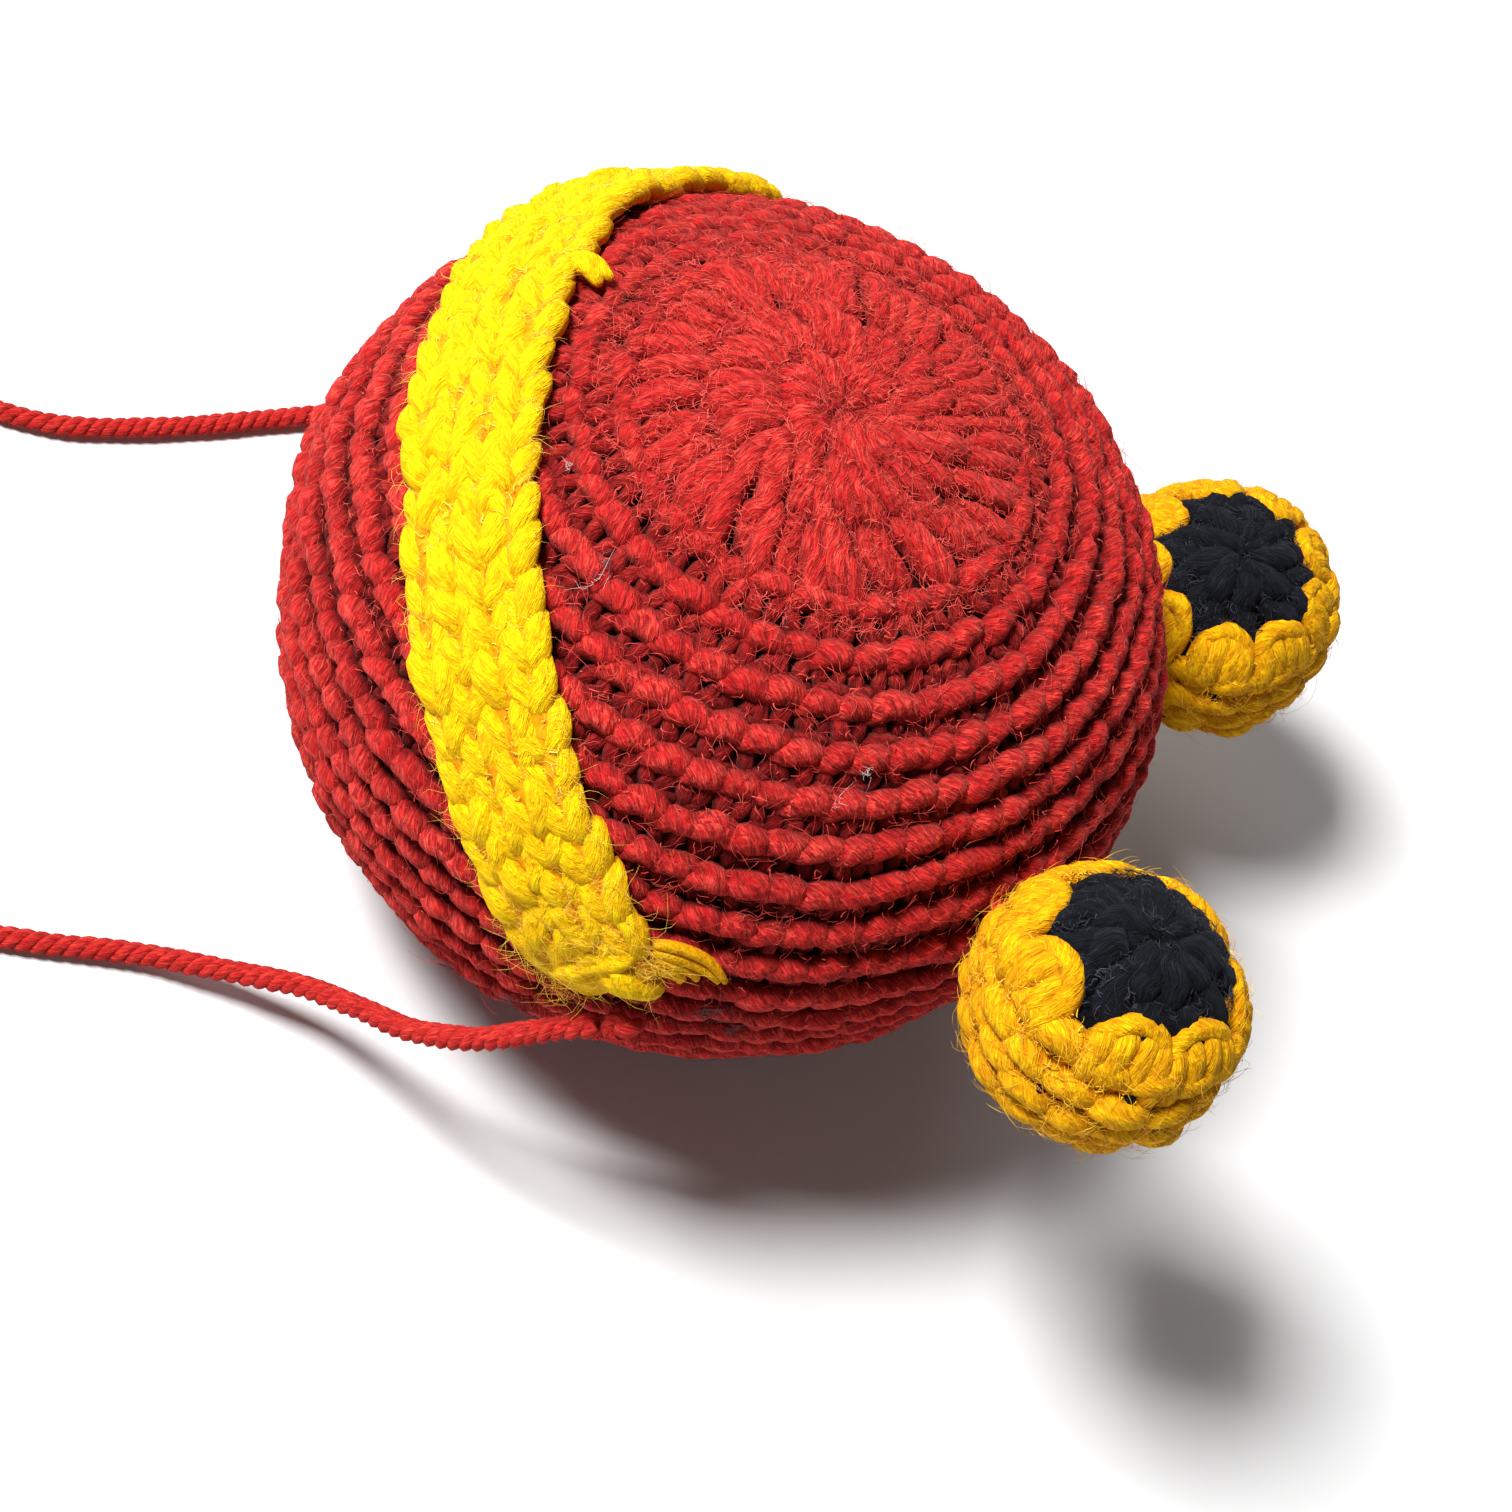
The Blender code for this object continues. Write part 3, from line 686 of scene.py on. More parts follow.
band = {
    "tilt": 43.7, "turn": 16.6, "offset": 2.9 * mm,         # the plane that it follows round the ball
    "nearEnd": -82, "farEnd": -282,
    "slip": 6.4 * mm, "slipFrom": 0.40, "slipTo": 1.02,     # how far the far part lies toward the crown
    "columns": (-3.5 * mm, -1.17 * mm, 1.17 * mm, 3.5 * mm), "step": 3.25 * mm,
    # a V's leg, in shares of its length, half its width and its height
    "legPath": ((1.0, 1.05, 0.2), (0.74, 1.0, 0.80), (0.45, 0.78, 1.0), (0.18, 0.42, 0.82),
                (-0.04, 0.12, 0.15)),
    "legLong": 4.9 * mm, "legWide": 1.08 * mm, "legYarn": 1.06 * mm,
    "legGirth": (0.5, 0.85, 1.0, 1.08, 1.1, 1.02, 0.85, 0.5), "each": 0.13, "together": (0.32, 0.16, 0.15),
    # rows across the near end: how far along, how high, how slanted
    "endRows": ((0.9, 0.85, 0.7), (2.5, 1.35, 0.4), (0.1, 0.55, 0.9)), "endYarn": 1.15 * mm,
    "endGirth": (0.5, 1, 1.05, 0.95, 1.08, 1, 0.5),
    "lining": 0.95 * mm, "liningHeight": 0.75 * mm, "liningWide": 3.6,
}
bandTails = {       # strands of each tail: along, across and above the band, in mm
    "bandTailEnd": {"node": "band_tail_end", "yarn": 0.46 * mm, "girth": (0.8, 1, 1, 1, 0.9, 0.55), "ways": (
        ((2.2, 4.7, 0.9), (1.2, 5.8, 0.9), (-0.2, 6.7, 0.6), (-1.8, 7.4, 0.5), (-3.2, 7.6, 0.55)),
        ((1.7, 4.4, 0.8), (0.9, 5.3, 1.0), (-0.3, 5.9, 0.7), (-1.6, 6.3, 0.5), (-2.4, 6.1, 0.4)),
        ((2.6, 4.9, 0.7), (1.9, 6.3, 0.8), (0.4, 7.4, 0.6), (-1.3, 8.1, 0.5), (-3.4, 8.1, 0.6)),
        ((1.2, 4.0, 0.9), (0.3, 4.8, 1.1), (-0.6, 5.2, 0.8), (-1.5, 5.2, 0.5), (-2.0, 4.8, 0.4)))},
    "bandTailCorner": {"node": "band_tail_corner", "yarn": 0.95 * mm, "girth": (0.8, 1, 1, 1, 0.9, 0.55),
                       "ways": (
        ((2.2, 2.0, 1.6), (1.0, 2.2, 2.0), (-0.3, 2.6, 1.7), (-1.2, 3.1, 1.2), (-1.7, 3.5, 0.8)),
        ((2.0, 1.1, 1.4), (0.9, 1.2, 1.8), (-0.2, 1.7, 1.5), (-1.1, 2.3, 1.0), (-1.7, 2.9, 0.7)))},
    "bandTailUpper": {"node": "band_tail_upper", "yarn": 0.72 * mm, "girth": (0.8, 1, 1, 0.95, 0.8, 0.4),
                      "ways": (
        ((0.3, 4.4, 1.0), (0.0, 5.6, 1.3), (-0.2, 6.7, 1.0), (-0.9, 7.6, 0.5), (-1.3, 8.2, 0.3)),
        ((-0.6, 4.4, 0.9), (-0.7, 5.4, 1.1), (-1.0, 6.3, 0.9), (-1.6, 7.0, 0.5), (-2.1, 7.4, 0.3)))},
}
bandFuzz = {
    # hairs on the face and on both edges: how many, and from and to where across
    "hairs": ((2400, -4.6, 4.6), (900, -5.0, -4.0), (900, 4.0, 5.0)), "height": 1.5 * mm,
    "strokes": 2600, "strokeWide": 4.3, "strokeHeight": (1.0, 1.75),
    "endHairs": 420, "endAlong": (-0.5, 9), "endAcross": (-5.4, 5.6),
}


def bandLine():
    tilt, turn = math.radians(band["tilt"]), math.radians(band["turn"])
    normal = np.array([math.sin(tilt) * math.cos(turn), math.sin(tilt) * math.sin(turn), math.cos(tilt)])
    turns = np.radians(np.linspace(band["nearEnd"] + 10, band["farEnd"] - 10, 441))
    low, high = np.full(turns.shape, -0.98 * ball["belly"]), np.full(turns.shape, 0.98 * ball["crown"])
    for _ in range(40):
        height = (low + high) / 2
        power, reach = halves(height > 0)
        radius = ball["radius"] * np.maximum(0, 1 - (np.abs(height) / reach) ** power) ** (1 / power)
        points = np.stack([radius * np.cos(turns), radius * np.sin(turns), height], -1)
        over = points @ normal + band["offset"] > 0
        high, low = np.where(over, height, high), np.where(over, low, height)
    points, out = onBall(points + np.array(ballMiddle))
    side = unit(normal - out * (out @ normal)[:, None])
    run = np.concatenate([[0], np.cumsum(np.linalg.norm(np.diff(points, axis=0), axis=1))])
    ends = np.interp([-math.radians(band["nearEnd"]), -math.radians(band["farEnd"])], -turns, run)
    return run - ends[0], points, side, ends[1] - ends[0]


bandRun, bandPoints, bandSide, bandLong = bandLine()


def bandPlace(along, across, height):
    foot, side = partWay(along, bandRun, bandPoints), partWay(along, bandRun, bandSide)
    share = smooth(along / bandLong, band["slipFrom"], band["slipTo"])
    foot, out = onBall(foot + side * (across + band["slip"] * share)[..., None])
    wave = 0.18 * mm * np.sin(along / mm * 0.35 + 1) * np.sin(across / mm * 0.5)
    return foot + out * (height + wave)[..., None], out


def bandStrands(pile, paths, radius, girth, rings=9, lean=32):
    def place(run):
        # Painted shade: the band's yarn takes a deeper colour toward its near end.
        ahead = run[..., 0] / mm        # deeper colour toward the near end
        shaded = 0.5 * (1 - smooth(ahead, 3, 24)) + 0.45 * (1 - smooth(ahead, 1, 11))
        return *bandPlace(run[..., 0], run[..., 1], run[..., 2]), run[..., 2] / mm - 0.95 - shaded

    layThreads(pile, paths, place, radius, girth, rings, 7, lean, 0.06, 0.4)


def makeBandYarn():
    pile = YarnPile()
    for number, middle in enumerate(band["columns"]):
        first = 0.6 * mm + (number % 2) * band["step"] / 2
        starts = np.arange(first, bandLong - 3.4 * mm, band["step"])
        for way in (-1, 1):
            path = np.array(band["legPath"]) * np.array([band["legLong"], way * band["legWide"], mm])
            paths = scattered(path, len(starts), band["each"] * mm, np.array(band["together"]) * mm)
            paths[..., 0] += starts[:, None]
            paths[..., 1] += middle
            bandStrands(pile, paths, band["legYarn"], band["legGirth"], lean=26 * way)
    ends = []
    for ahead, up, slant in band["endRows"]:
        spots = np.linspace(-4.0, 4.0, 7)
        ends.append(np.stack([(ahead + slant * spots / 5 + chance.normal(0, 0.15, 7)) * mm, spots * mm,
                              (up + chance.normal(0, 0.12, 7)) * mm], -1))
    bandStrands(pile, np.array(ends), band["endYarn"], band["endGirth"], 16, 50)
    dress(pile.make("bandYarn", "yellow"), "ball", "yellow_yarn", "yellow_band")


def makeBandLining():
    # A layer of darker yellow yarn under the V's: painted shade between them.
    pile = YarnPile()
    spots, offsets = np.meshgrid(np.linspace(0.4 * mm, bandLong - 0.8 * mm, 90),
                                 np.linspace(-band["liningWide"], band["liningWide"], 6) * mm)
    centres, out = bandPlace(spots, offsets, np.full(spots.shape, band["liningHeight"]))
    pile.lay(centres, band["lining"], out, 6, 0.4, np.full(spots.shape, -1.2))
    dress(pile.make("bandLining", "yellowShadeGround"), "ball", "yellow_yarn")


def makeBandTails():
    for name, tail in bandTails.items():
        ways = np.array(tail["ways"])
        if name == "bandTailUpper":     # the others start at the band's near end
            away = np.linalg.norm(bandPoints - middleOf(tail["node"]), axis=1)
            ways = ways + np.array([bandRun[np.argmin(away)] / mm, 0, 0])
        pile = YarnPile()
        bandStrands(pile, ways * mm, tail["yarn"], tail["girth"], 12, 40)
        dress(pile.make(name, "yellow"), "ball", "yellow_yarn", tail["node"])


def makeBandFuzz():
    pile, facts = YarnPile(), bandFuzz
    for count, low, high in facts["hairs"]:
        across = chance.uniform(low, high, count) * mm
        along = chance.uniform(0, 1, count) * bandLong
        roots, out = bandPlace(along, across, np.full(count, facts["height"]))
        hairs(pile, roots, out, 0.5, (0.7 * mm, 2.8 * mm), 0.018 * mm, (0.03, 0.45))
    count, wide = facts["strokes"], facts["strokeWide"]
    along = chance.uniform(0, 1, count) * bandLong
    across = chance.uniform(-wide, wide, count) * mm
    roots, out = bandPlace(along, across, chance.uniform(*facts["strokeHeight"], count) * mm)
    hairs(pile, roots, out, 0.5, (0.4 * mm, 1.5 * mm), 0.06 * mm, (-0.02, 0.14))
    count = facts["endHairs"]
    along = chance.uniform(*facts["endAlong"], count) * mm
    across = chance.uniform(*facts["endAcross"], count) * mm
    roots, out = bandPlace(along, across, np.full(count, facts["height"]))
    hairs(pile, roots, out, 0.7, (1.5 * mm, 4.5 * mm), 0.021 * mm, (0.1, 0.7))
    dress(pile.make("bandFuzz", "yellowFuzz"), "ball", "yellow_yarn")


makeBandYarn()
makeBandLining()
makeBandTails()
makeBandFuzz()
print("yellow band made")


smallBalls = {
    "near": {"radius": 10.6 * mm, "pole": (0.0, 0.115, 1.0), "turned": 0.35, "scallops": 7, "tip": 47,
             "tilted": 7, "shadeUnderneath": 0.62},
    "far": {"radius": 11.7 * mm, "pole": (-0.09, -0.17, 0.98), "turned": 0.1, "scallops": 9, "tip": 39,
            "tilted": 0, "shadeUnderneath": 0.30},
}
cupRidge = np.array([(-0.66, 0.85, -2.6), (-0.46, 0.45, -1.6), (-0.20, 0.0, -1.12), (0.08, -0.25, -1.05),
                     (0.34, -0.18, -1.2), (0.56, 0.25, -1.75), (0.70, 0.7, -2.7)])
cupLegs = (np.array([(-0.34, 0.3, -2.0), (-0.31, 1.2, -1.65), (-0.16, 2.2, -1.8), (-0.02, 3.2, -2.4)]),
           np.array([(0.34, 0.3, -2.0), (0.30, 1.2, -1.7), (0.20, 2.2, -1.85), (0.12, 3.2, -2.4)]))
scallopEdge = np.array([(-0.42, 33, -2.1), (-0.38, 19, -1.15), (-0.30, 6.5, -0.85), (-0.02, 0.0, -0.78),
                        (0.28, 5.5, -0.85), (0.38, 17, -1.1), (0.42, 31, -2.1)])
scallopFan = np.array([(1.0, 2.5, -1.3), (1.0, 7, -0.86), (1.02, 14, -0.75), (1.08, 24, -0.95),
                       (1.1, 33, -1.8)])
cup = {
    "ground": -2.3 * mm, "stitchWide": 4.1 * mm, "rowStep": 2.95 * mm, "rows": (66, 168),
    "each": (0.03, 0.12, 0.08), "together": (0.03, 0.16, 0.12),
    # path, girth, yarn, rings and lean of each strand of a stitch
    "stitch": ((cupRidge, ridgeGirth, 1.22 * mm, 14, 56), (cupLegs[0], legGirth, 0.92 * mm, 8, 24),
               (cupLegs[1], legGirth, 0.92 * mm, 8, 24)),
    # path, yarn, rings, lean and how much narrower each strand of a scallop runs
    "scallop": ((scallopEdge, 0.9 * mm, 18, 50, 0.0), (scallopFan, 1.1 * mm, 12, -20, -0.29),
                (scallopFan, 1.1 * mm, 12, 20, 0.29), (scallopFan, 1.1 * mm, 12, -20, -0.11),
                (scallopFan, 1.1 * mm, 12, 20, 0.12)),
    "scallopEach": (0.012, 0.5, 0.05), "scallopGirth": (0.55, 0.95, 1.05, 1.05, 1.0, 0.6),
    "foot": ((0, 0.3), (1.5, 0.25), (3, 0.3), (4.5, 0.25), (5.9, 0.3)),     # the strand that closes it
}
core = {
    # how many petals, from and to how many degrees, swirl, yarn, heights along them
    "petals": ((9, 1.5, 30, 0.5, 1.4, (-1.6, -1.4, -2.2)), (15, 14, 52, 0.35, 1.45, (-2.3, -1.85, -2.7)),
               (18, 34, 76, 0.2, 1.45, (-2.7, -2.5, -2.9))),
    "girth": (0.35, 0.7, 0.95, 1.0, 1.05, 1.0, 0.6),
    # black that shows through at the corners of a few stitches: turn and angle from the pole
    "specks": ((-128, 84), (-104, 93), (-88, 112), (-76, 108), (-70, 74), (-50, 96), (35, 92), (80, 100),
               (150, 95)),
    "speckPath": ((-0.04, -0.06, -1.9), (0.0, -0.02, -0.72), (0.02, 0.02, -0.72), (0.03, 0.07, -1.9)),
}
smallFuzz = {
    "CupFuzz": {"finish": "cupFuzz", "slot": "cup_yarn", "span": (52, 178), "count": 2600, "long": 3.2,
                "sunk": 0.0},
    "CoreFuzz": {"finish": "blackFuzz", "slot": "black_yarn", "span": (2, 46), "count": 900, "long": 1.7,
                 "sunk": 0.35 * mm},
}
neck = {"wraps": (0, 2.1, 4.2), "winds": 5.0, "long": 3.4 * mm, "yarn": 0.62 * mm}


class SmallBall:
    def __init__(self, side):
        self.side, self.look, self.body = side, smallBalls[side], side + "_ball"
        self.radius = self.look["radius"]
        low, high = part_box(side + "_cup")
        self.centre = np.array([(low[0] + high[0]) / 2, (low[1] + high[1]) / 2, low[2] + self.radius])
        self.pole = unit(np.array(self.look["pole"]))
        self.right = unit(np.cross([0.0, 1.0, 0.0], self.pole))
        self.ahead = np.cross(self.pole, self.right)

    def place(self, turn, polar, height):
        across, ahead = np.sin(polar) * np.cos(turn), np.sin(polar) * np.sin(turn)
        out = (across[..., None] * self.right + ahead[..., None] * self.ahead
               + np.cos(polar)[..., None] * self.pole)
        lump = 0.16 * np.sin(3 * turn + 5 * polar + self.radius / mm) + 0.1 * np.sin(5 * turn - 4 * polar)
        return self.centre + out * (self.radius + height + lump * mm)[..., None], out

    def strands(self, pile, paths, size, girth, rings, lean, sides=7):
        def place(run):
            # Painted shade: the yarn takes a deeper colour toward the small ball's underside.
            low = self.look["shadeUnderneath"] * smooth(run[..., 1], 1.1, 2.2)      # deeper colour underneath
            return *self.place(run[..., 0], run[..., 1], run[..., 2] * mm), run[..., 2] + 0.15 - low

        layThreads(pile, paths, place, size, girth, rings, sides, lean, 0.05, 0.4)

    def turns(self, count, move, uneven):       # where each of a ring of stitches starts
        return (np.arange(count) + move + chance.normal(0, uneven, count)) * fullTurn / count

    def makeGround(self):
        def place(turn, share, height):
            return self.place(turn, share * math.pi, height)

        ground = makeGround(self.side + "BallGround", 20, 28, cup["ground"], place, "cupShadeGround")
        dress(ground, self.body, "cup_yarn")

    def makeCup(self):
        pile = YarnPile()
        first, last = np.radians(cup["rows"])
        for number, polar in enumerate(np.arange(first, last, cup["rowStep"] / self.radius)):
            count = max(5, round(fullTurn * self.radius * math.sin(polar) / cup["stitchWide"]))
            starts = self.turns(count, 0.4 * number + self.look["turned"], 0.05)
            for path, girth, size, rings, lean in cup["stitch"]:
                paths = scattered(path, count, cup["each"], cup["together"])
                paths[..., 0] = paths[..., 0] * fullTurn / count + starts[:, None]
                paths[..., 1] = polar + paths[..., 1] * mm / self.radius
                self.strands(pile, paths, size, girth, rings, lean, 9)
        count = self.look["scallops"]
        starts = self.turns(count, self.look["turned"], 0.05)
        tips = self.look["tip"] + self.look["tilted"] * np.sin(starts) + chance.normal(0, 1.0, count)
        for path, size, rings, lean, narrow in cup["scallop"]:
            if narrow:
                path = path * np.array([narrow, 1, 1]) + np.array([0, 6.0 * (narrow / 0.4) ** 2, 0])
            paths = scattered(path, count, cup["scallopEach"], None)
            paths[..., 0] = paths[..., 0] * fullTurn / count + starts[:, None]
            paths[..., 1] = np.radians(paths[..., 1] + tips[:, None])
            self.strands(pile, paths, size, cup["scallopGirth"], rings, lean, 9)
        foot = np.array([[(turn, math.pi - reach, -1.3) for turn, reach in cup["foot"]]])
        self.strands(pile, foot, 1.2 * mm, (0.6, 1, 1, 0.6), 14, 50)
        dress(pile.make(self.side + "CupYarn", "cup"), self.body, "cup_yarn", self.side + "_cup")

    def makeCore(self):
        pile = YarnPile()
        shares = np.linspace(0, 1, 6)
        for count, first, last, swirl, size, rise in core["petals"]:
            starts = self.turns(count, 0, 0.15)
            paths = np.zeros((count, 6, 3))
            paths[..., 0] = starts[:, None] + swirl * shares + chance.normal(0, 0.06, (count, 6))
            paths[..., 1] = np.radians(first + (last - first) * shares + chance.normal(0, 2.0, (count, 1)))
            heights = np.array([rise[0], rise[1], rise[1], rise[1] + 0.05, rise[1], rise[2]])
            paths[..., 2] = heights + chance.normal(0, 0.13, (count, 6))
            self.strands(pile, paths, size * mm, core["girth"], 14, 35, 9)
        for speck in core["specks"]:
            turn, polar = np.radians(speck) + chance.normal(0, 0.03, 2)
            path = np.array([core["speckPath"]]) + np.array([turn, polar, 0])
            self.strands(pile, path, 0.5 * mm, (0.6, 1, 1, 0.6), 8, 30, 6)
        dress(pile.make(self.side + "CoreYarn", "black"), self.body, "black_yarn", self.side + "_core")

    def makeFuzz(self, name):
        fuzz, pile = smallFuzz[name], YarnPile()
        top, bottom = np.cos(np.radians(fuzz["span"]))
        for count, longest, thick, lift in ((fuzz["count"], fuzz["long"], 0.025, (0.1, 0.8)),
                                            (int(fuzz["count"] * 0.75), 1.5, 0.065, (-0.02, 0.16))):
            polar = np.arccos(chance.uniform(bottom, top, count))
            turn = chance.uniform(0, fullTurn, count)
            roots, out = self.place(turn, polar, chance.uniform(-0.7, -0.1, count) * mm)
            hairs(pile, roots - out * fuzz["sunk"], out, 0.5, (0.25 * longest * mm, longest * mm),
                  thick * mm, lift)
        dress(pile.make(self.side + name, fuzz["finish"]), self.body, fuzz["slot"])

    def makeNeck(self):
        middle = middleOf(self.side + "_neck")
        axis = unit(self.centre - middle)
        across = unit(np.cross(axis, [0, 0, 1.0]))
        other = np.cross(axis, across)
        pile = YarnPile()
        share = np.linspace(0, 1, 25)
        for start in neck["wraps"]:
            angle = (start + share * neck["winds"])[:, None]
            path = middle + axis * ((share - 0.5) * neck["long"])[:, None] + neck["yarn"] * (
                np.cos(angle) * across + np.sin(angle) * other)
            pile.lay(path[None], neck["yarn"], across, 7, 0.5)
        piece = pile.make(self.side + "NeckYarn", "red")
        dress(piece, self.side + "_shank", "red_yarn", self.side + "_neck")


for side in smallBalls:
    made = SmallBall(side)
    made.makeGround()
    made.makeCup()
    made.makeCore()
    for name in smallFuzz:
        made.makeFuzz(name)
    made.makeNeck()
print("small balls made")


cords = {
    "near": {"route": ((0.0064, -0.0388, 0.0285), (0.0042, -0.0395, 0.0268), (0.0012, -0.0402, 0.0232),
                       (-0.0020, -0.0405, 0.0192), (-0.0066, -0.0399, 0.0145), (-0.0113, -0.0383, 0.0104),
                       (-0.0159, -0.0372, 0.0070), (-0.0203, -0.0373, 0.0046), (-0.0246, -0.0379, 0.0028),
                       (-0.0290, -0.0388, 0.0017), (-0.0328, -0.0402, 0.0012), (-0.0367, -0.0419, 0.0010),
                       (-0.0406, -0.0435, 0.0010), (-0.0455, -0.0456, 0.0010), (-0.0512, -0.0487, 0.0010)),
             "coil": (-0.0640, -0.0405), "way": -1},
    "far": {"route": ((0.0083, 0.0284, 0.0040), (0.0066, 0.0308, 0.0025), (0.0036, 0.0334, 0.0014),
                      (-0.0010, 0.0356, 0.0010), (-0.0070, 0.0370, 0.0010), (-0.0140, 0.0371, 0.0010),
                      (-0.0210, 0.0355, 0.0010), (-0.0280, 0.0323, 0.0010), (-0.0340, 0.0285, 0.0010),
                      (-0.0391, 0.0249, 0.0010), (-0.0433, 0.0213, 0.0010), (-0.0482, 0.0168, 0.0010),
                      (-0.0522, 0.0132, 0.0010), (-0.0561, 0.0099, 0.0010), (-0.0602, 0.0069, 0.0010),
                      (-0.0633, 0.0049, 0.0010), (-0.0667, 0.0036, 0.0010), (-0.0693, 0.0029, 0.0010),
                      (-0.0732, 0.0020, 0.0010), (-0.0761, 0.0013, 0.0010)),
            "coil": (-0.0820, -0.0128), "way": 1},
}
cordSize = {
    "long": 0.32, "thick": 2.0 * mm, "strand": 0.56 * mm, "strandOut": 0.50 * mm, "twist": 3.9 * mm,
    "spacing": 0.34 * mm,
    # the coil: its lower turns, outer then inner, then its top turn on them
    "outer": 12.5 * mm, "inner": 10.5 * mm, "top": 11.5 * mm, "turnIn": 10.2 * mm,
    "floor": 1.0 * mm, "upper": 2.74 * mm, "changes": (310, 350, 640, 690), "leave": 1.1,
}
cordKnot = {"size": 1.5 * mm, "yarn": 0.68 * mm, "ends": 7, "endLong": 3.6 * mm, "endSag": 1.2 * mm,
            "endYarn": (0.3, 0.3, 0.28, 0.25, 0.2, 0.1), "lowest": 0.32 * mm}
cordTie = {"turns": (2.4, 2.52, 2.64), "out": 2.45 * mm, "up": 1.82 * mm, "middle": 2.1 * mm,
           "yarn": 0.3 * mm}
cordAnchor = {"size": 1.25 * mm, "yarn": 0.62 * mm}
upward = np.array([0.0, 0.0, 1.0])


def evenly(points, spacing):
    run = np.concatenate([[0], np.cumsum(np.linalg.norm(np.diff(points, axis=0), axis=1))])
    spots = np.linspace(0, run[-1], max(2, round(run[-1] / spacing)) + 1)
    return partWay(spots, run, points)


def cordPath(side):
    facts, size = cords[side], cordSize
    route = np.array(facts["route"])
    points = bends(len(route), 12 * len(route)) @ route
    centre, way = np.array(facts["coil"]), facts["way"]
    reach = points[-1, :2] - centre
    start = math.atan2(reach[1], reach[0]) + way * math.acos(size["outer"] / np.linalg.norm(reach))
    knot = middleOf(side + "_cord_knot")
    toKnot = knot[:2] - centre
    lastTurn = (way * (math.atan2(toKnot[1], toKnot[0]) - start)) % fullTurn
    step = [math.radians(a) for a in size["changes"]]
    best = None
    for loops in range(1, 6):       # the number of turns that comes nearest to its length
        total = lastTurn + fullTurn * loops
        leave = total - size["leave"]
        if leave < step[3] + 0.2:
            continue
        turn = np.linspace(0, total, 900)
        radius = np.interp(turn, [0, step[0], step[1] + 0.3, step[2], step[3], leave, total - 0.75, total],
                           [size["outer"], size["outer"], size["inner"], size["inner"], size["top"],
                            size["top"], size["turnIn"], np.linalg.norm(toKnot)])
        height = np.interp(turn, [0, step[2], step[3], total - 0.7, total - 0.2, total],
                           [size["floor"], size["floor"], size["upper"], size["upper"], knot[2], knot[2]])
        angle = start + way * turn
        coil = np.stack([centre[0] + radius * np.cos(angle), centre[1] + radius * np.sin(angle), height], -1)
        path = evenly(np.concatenate([points, coil]), 0.5 * mm)
        path = np.stack([np.convolve(np.pad(path[:, i], 2, "edge"), np.ones(5) / 5, "valid")
                         for i in range(3)], -1)
        off = abs(np.linalg.norm(np.diff(path, axis=0), axis=1).sum() - size["long"])
        if best is None or off < best[0]:
            best = (off, path, start)
    return best[1:]


def tangle(pile, centre, size, thick, axis, turned):  # a small tied knot
    turn = np.linspace(0, fullTurn, 49)[:-1] + turned
    loop = np.stack([np.sin(turn) + 2 * np.sin(2 * turn), np.cos(turn) - 2 * np.cos(2 * turn),
                     -1.1 * np.sin(3 * turn)], -1) * size / 3
    loop = np.concatenate([loop, loop[:2] * 0.97])
    across = unit(np.cross(axis, [0.3, 0.5, 0.81]))
    other = np.cross(axis, across)
    path = centre + loop[:, :1] * across + loop[:, 1:2] * other + loop[:, 2:] * axis
    pile.lay(path[None], thick, axis, 7, math.radians(40))


def makeCordYarn(side, path):
    fine = evenly(path, cordSize["spacing"])
    along = unit(np.gradient(fine, axis=0))
    across = unit(np.cross(along, np.array([0.05, 0.03, 1.0])))
    over = np.cross(across, along)
    run = np.arange(len(fine)) * cordSize["spacing"]
    pile = YarnPile()
    for strand in range(3):
        angle = (run / cordSize["twist"] * fullTurn + strand * fullTurn / 3)[:, None]
        centres = fine + cordSize["strandOut"] * (np.cos(angle) * across + np.sin(angle) * over)
        thick = cordSize["strand"] * (1 + 0.06 * np.sin(run / mm * 0.9 + strand))
        pile.lay(centres[None], thick[None], over, 7, math.radians(30), shade=np.array([0.75]))
    piece = pile.make(side + "CordYarn", "cord")
    return dress(piece, "ball", "cord_yarn", side + "_cord", side + "_cord_coil")


def makeCordKnot(side, path):
    middle = middleOf(side + "_cord_knot")
    pile = YarnPile()
    tangle(pile, middle, cordKnot["size"], cordKnot["yarn"], upward, 0.4)
    inward = unit(middle - path[-12])
    ends = []
    for _ in range(cordKnot["ends"]):
        fray = unit(inward + chance.normal(0, 0.22, 3) * np.array([1, 1, 0.4]))
        ends.append(np.stack([middle + fray * f * cordKnot["endLong"] - upward * f * f * cordKnot["endSag"]
                              for f in np.linspace(0.2, 1, 6)]))
        ends[-1][:, 2] = np.maximum(ends[-1][:, 2], cordKnot["lowest"])
    pile.lay(np.array(ends), np.array(cordKnot["endYarn"]) * mm, upward, 6)
    return dress(pile.make(side + "CordKnot", "cord"), "ball", "cord_yarn", side + "_cord_knot")


def makeCordTie(side, start):
    pile = YarnPile()
    for turn in start + np.array(cordTie["turns"]):
        out = np.array([math.cos(turn), math.sin(turn), 0])
        angle = np.linspace(0, fullTurn, 40)[:, None]
        wrap = np.array([*cords[side]["coil"], 0]) + out * (cordSize["top"] + cordTie["out"] * np.cos(angle))
        wrap = wrap + upward * (cordTie["middle"] + cordTie["up"] * np.sin(angle))
        pile.lay(wrap[None], cordTie["yarn"], np.cross(out, upward), 6, 0.5)
    return dress(pile.make(side + "CordTie", "red"), "ball", "cord_yarn")


def makeCordAnchor(side):
    place = middleOf(side + "_cord_anchor")
    pile = YarnPile()
    tangle(pile, place, cordAnchor["size"], cordAnchor["yarn"], unit(place - np.array(ballMiddle)), 1.0)
    dress(pile.make(side + "AnchorYarn", "cord"), "ball", "cord_yarn", side + "_cord_anchor")


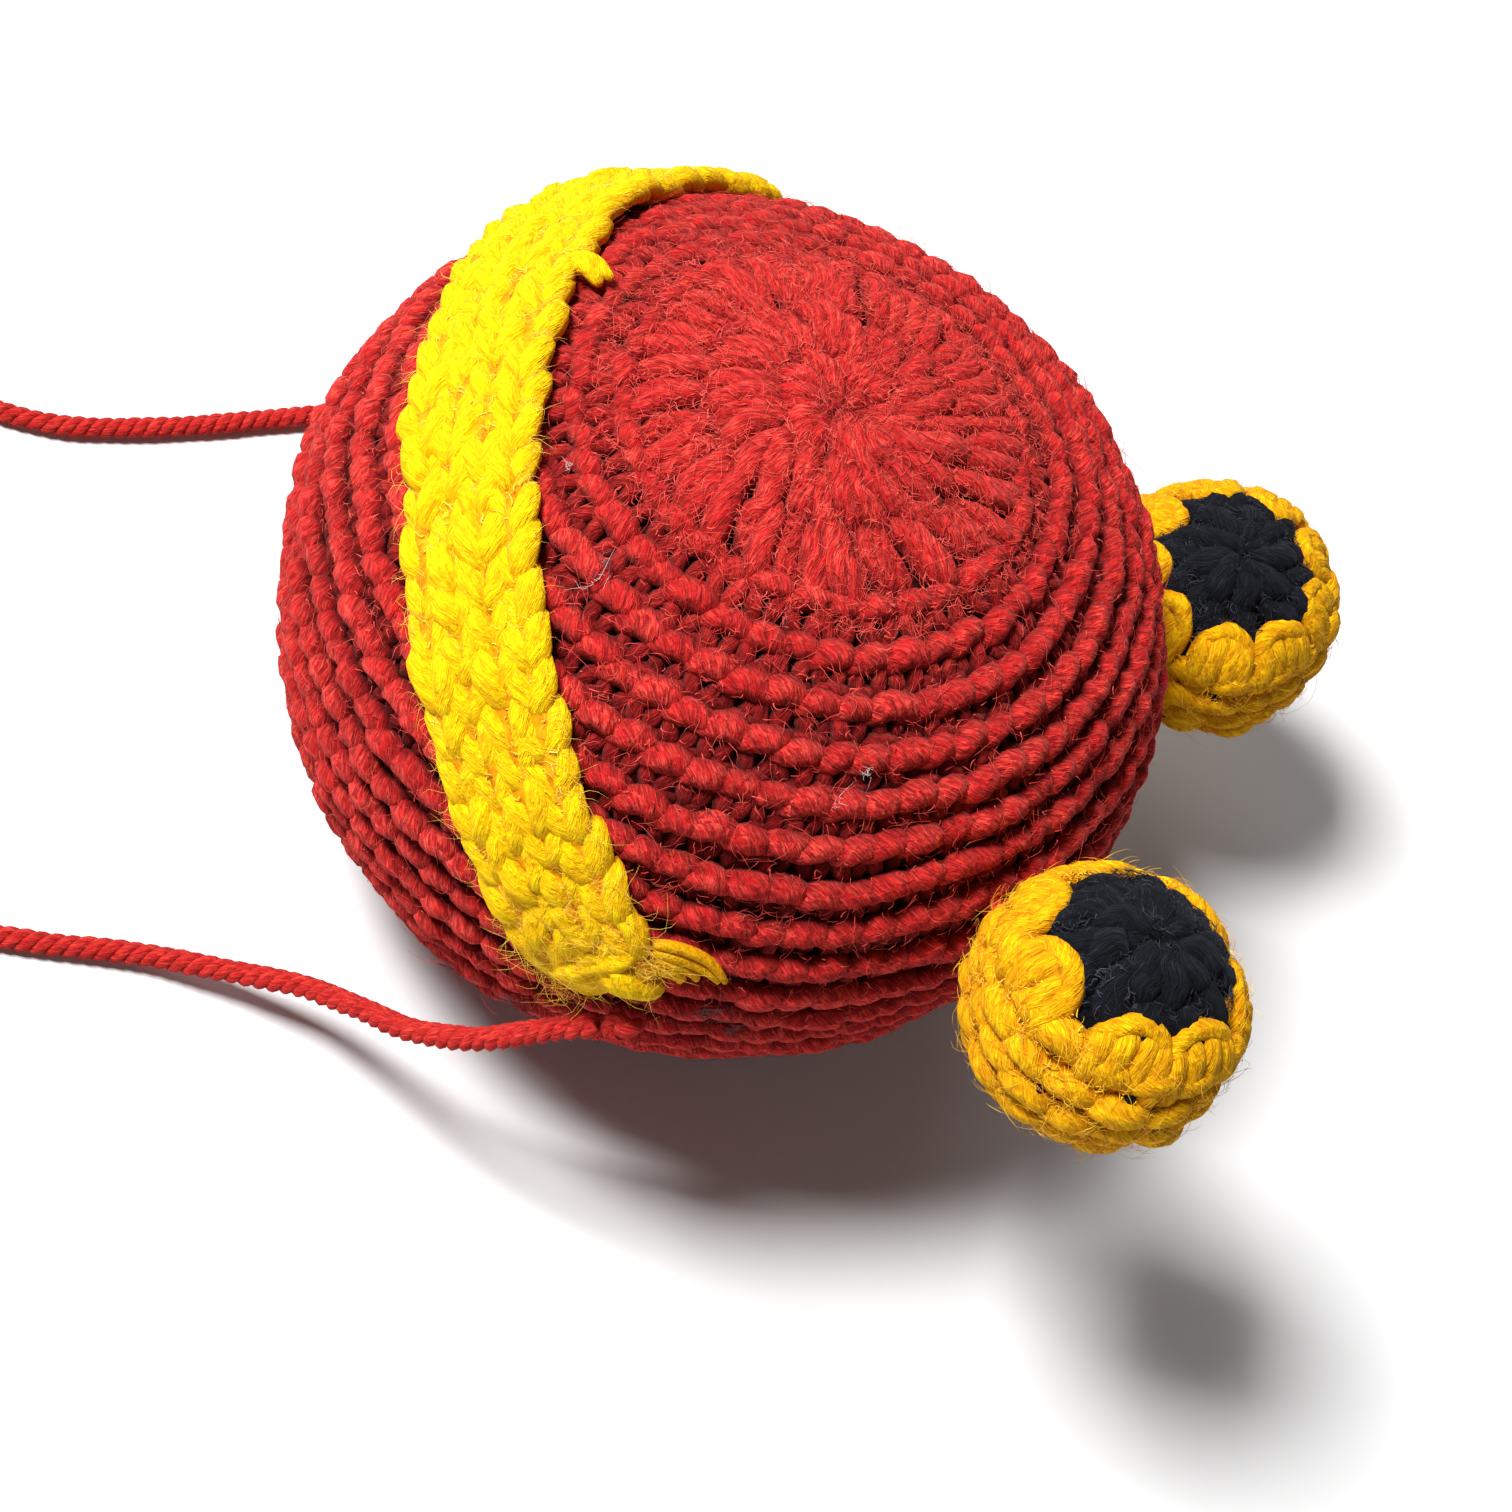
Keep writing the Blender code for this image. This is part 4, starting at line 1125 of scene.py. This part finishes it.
for side in cords:
    path, start = cordPath(side)
    yarn = makeCordYarn(side, path)
    knot = makeCordKnot(side, path)
    tie = makeCordTie(side, start)
    makeCordAnchor(side)
print("cords made")


hiddenInside = {"inner_pouch": "pouch", "main_filling": "grain", "near_core_stuffing": "stuffing",
                "far_core_stuffing": "stuffing"}
for node, finish in hiddenInside.items():
    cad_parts[node].data.materials.clear()
    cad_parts[node].data.materials.append(finishes[finish])


studio = {
    "floor": 0.68, "floorRadius": 1.2, "sky": 0.06, "skyColour": (0.96, 0.97, 1.0, 1),
    # the floor's edge turns up: how far it rises and spreads at each step
    "rim": ((0.01, 1.06), (0.04, 1.06), (0.08, 1.05), (0.12, 1.03), (0.2, 1.01), (0.3, 1.0)),
    # which way each light is, how far, how wide and how strong
    "lights": {"keyLight": ((-0.50, -0.11, 0.86), 0.9, 0.24, 16.0),
               "fillLight": ((-0.35, 0.65, 0.75), 1.1, 0.8, 3.6)},
}


def makeFloor():
    bpy.ops.object.select_all(action="DESELECT")
    bpy.ops.mesh.primitive_circle_add(vertices=96, radius=studio["floorRadius"], fill_type="NGON")
    floor = bpy.context.object
    floor.name = "studioFloor"
    bpy.ops.object.mode_set(mode="EDIT")
    bpy.ops.mesh.select_all(action="SELECT")
    bpy.ops.mesh.select_mode(type="EDGE")
    bpy.ops.mesh.region_to_loop()
    for rise, out in studio["rim"]:
        bpy.ops.mesh.extrude_edges_move(TRANSFORM_OT_translate={"value": (0, 0, rise)})
        bpy.ops.transform.resize(value=(out, out, 1), center_override=(0, 0, 0))
    bpy.ops.object.mode_set(mode="OBJECT")
    bpy.ops.object.shade_smooth()
    finish = Finish("floorFinish", {"Roughness": 0.9, "Specular IOR Level": 0.1})
    place = finish.node("TexCoord", None, None, 3)
    cloud = finish.node("TexNoise", None, {"Vector": place, "Scale": 6.0, "Detail": 2.0})
    pale, paler = (colour(*[studio["floor"] * share] * 3) for share in (0.985, 1.0))
    floor.data.materials.append(finish.show({"Base Color": finish.mix(cloud, pale, paler)}))


def makeLights():
    world = bpy.data.worlds.new("studioSky")
    world.use_nodes = True
    bpy.context.scene.world = world
    world.node_tree.nodes["Background"].inputs[0].default_value = studio["skyColour"]
    world.node_tree.nodes["Background"].inputs[1].default_value = studio["sky"]
    for name, (way, away, size, power) in studio["lights"].items():
        lamp = bpy.data.lights.new(name, "AREA")
        lamp.energy, lamp.size = power, size
        holder = bpy.data.objects.new(name, lamp)
        aim = Vector(way).normalized()
        turn = aim.to_track_quat("Z", "Y").to_matrix().to_4x4()
        holder.matrix_world = Matrix.Translation(ballMiddle + aim * away) @ turn
        bpy.context.scene.collection.objects.link(holder)
    bpy.context.scene.view_settings.view_transform = "Standard"


makeFloor()
makeLights()
print("studio made")
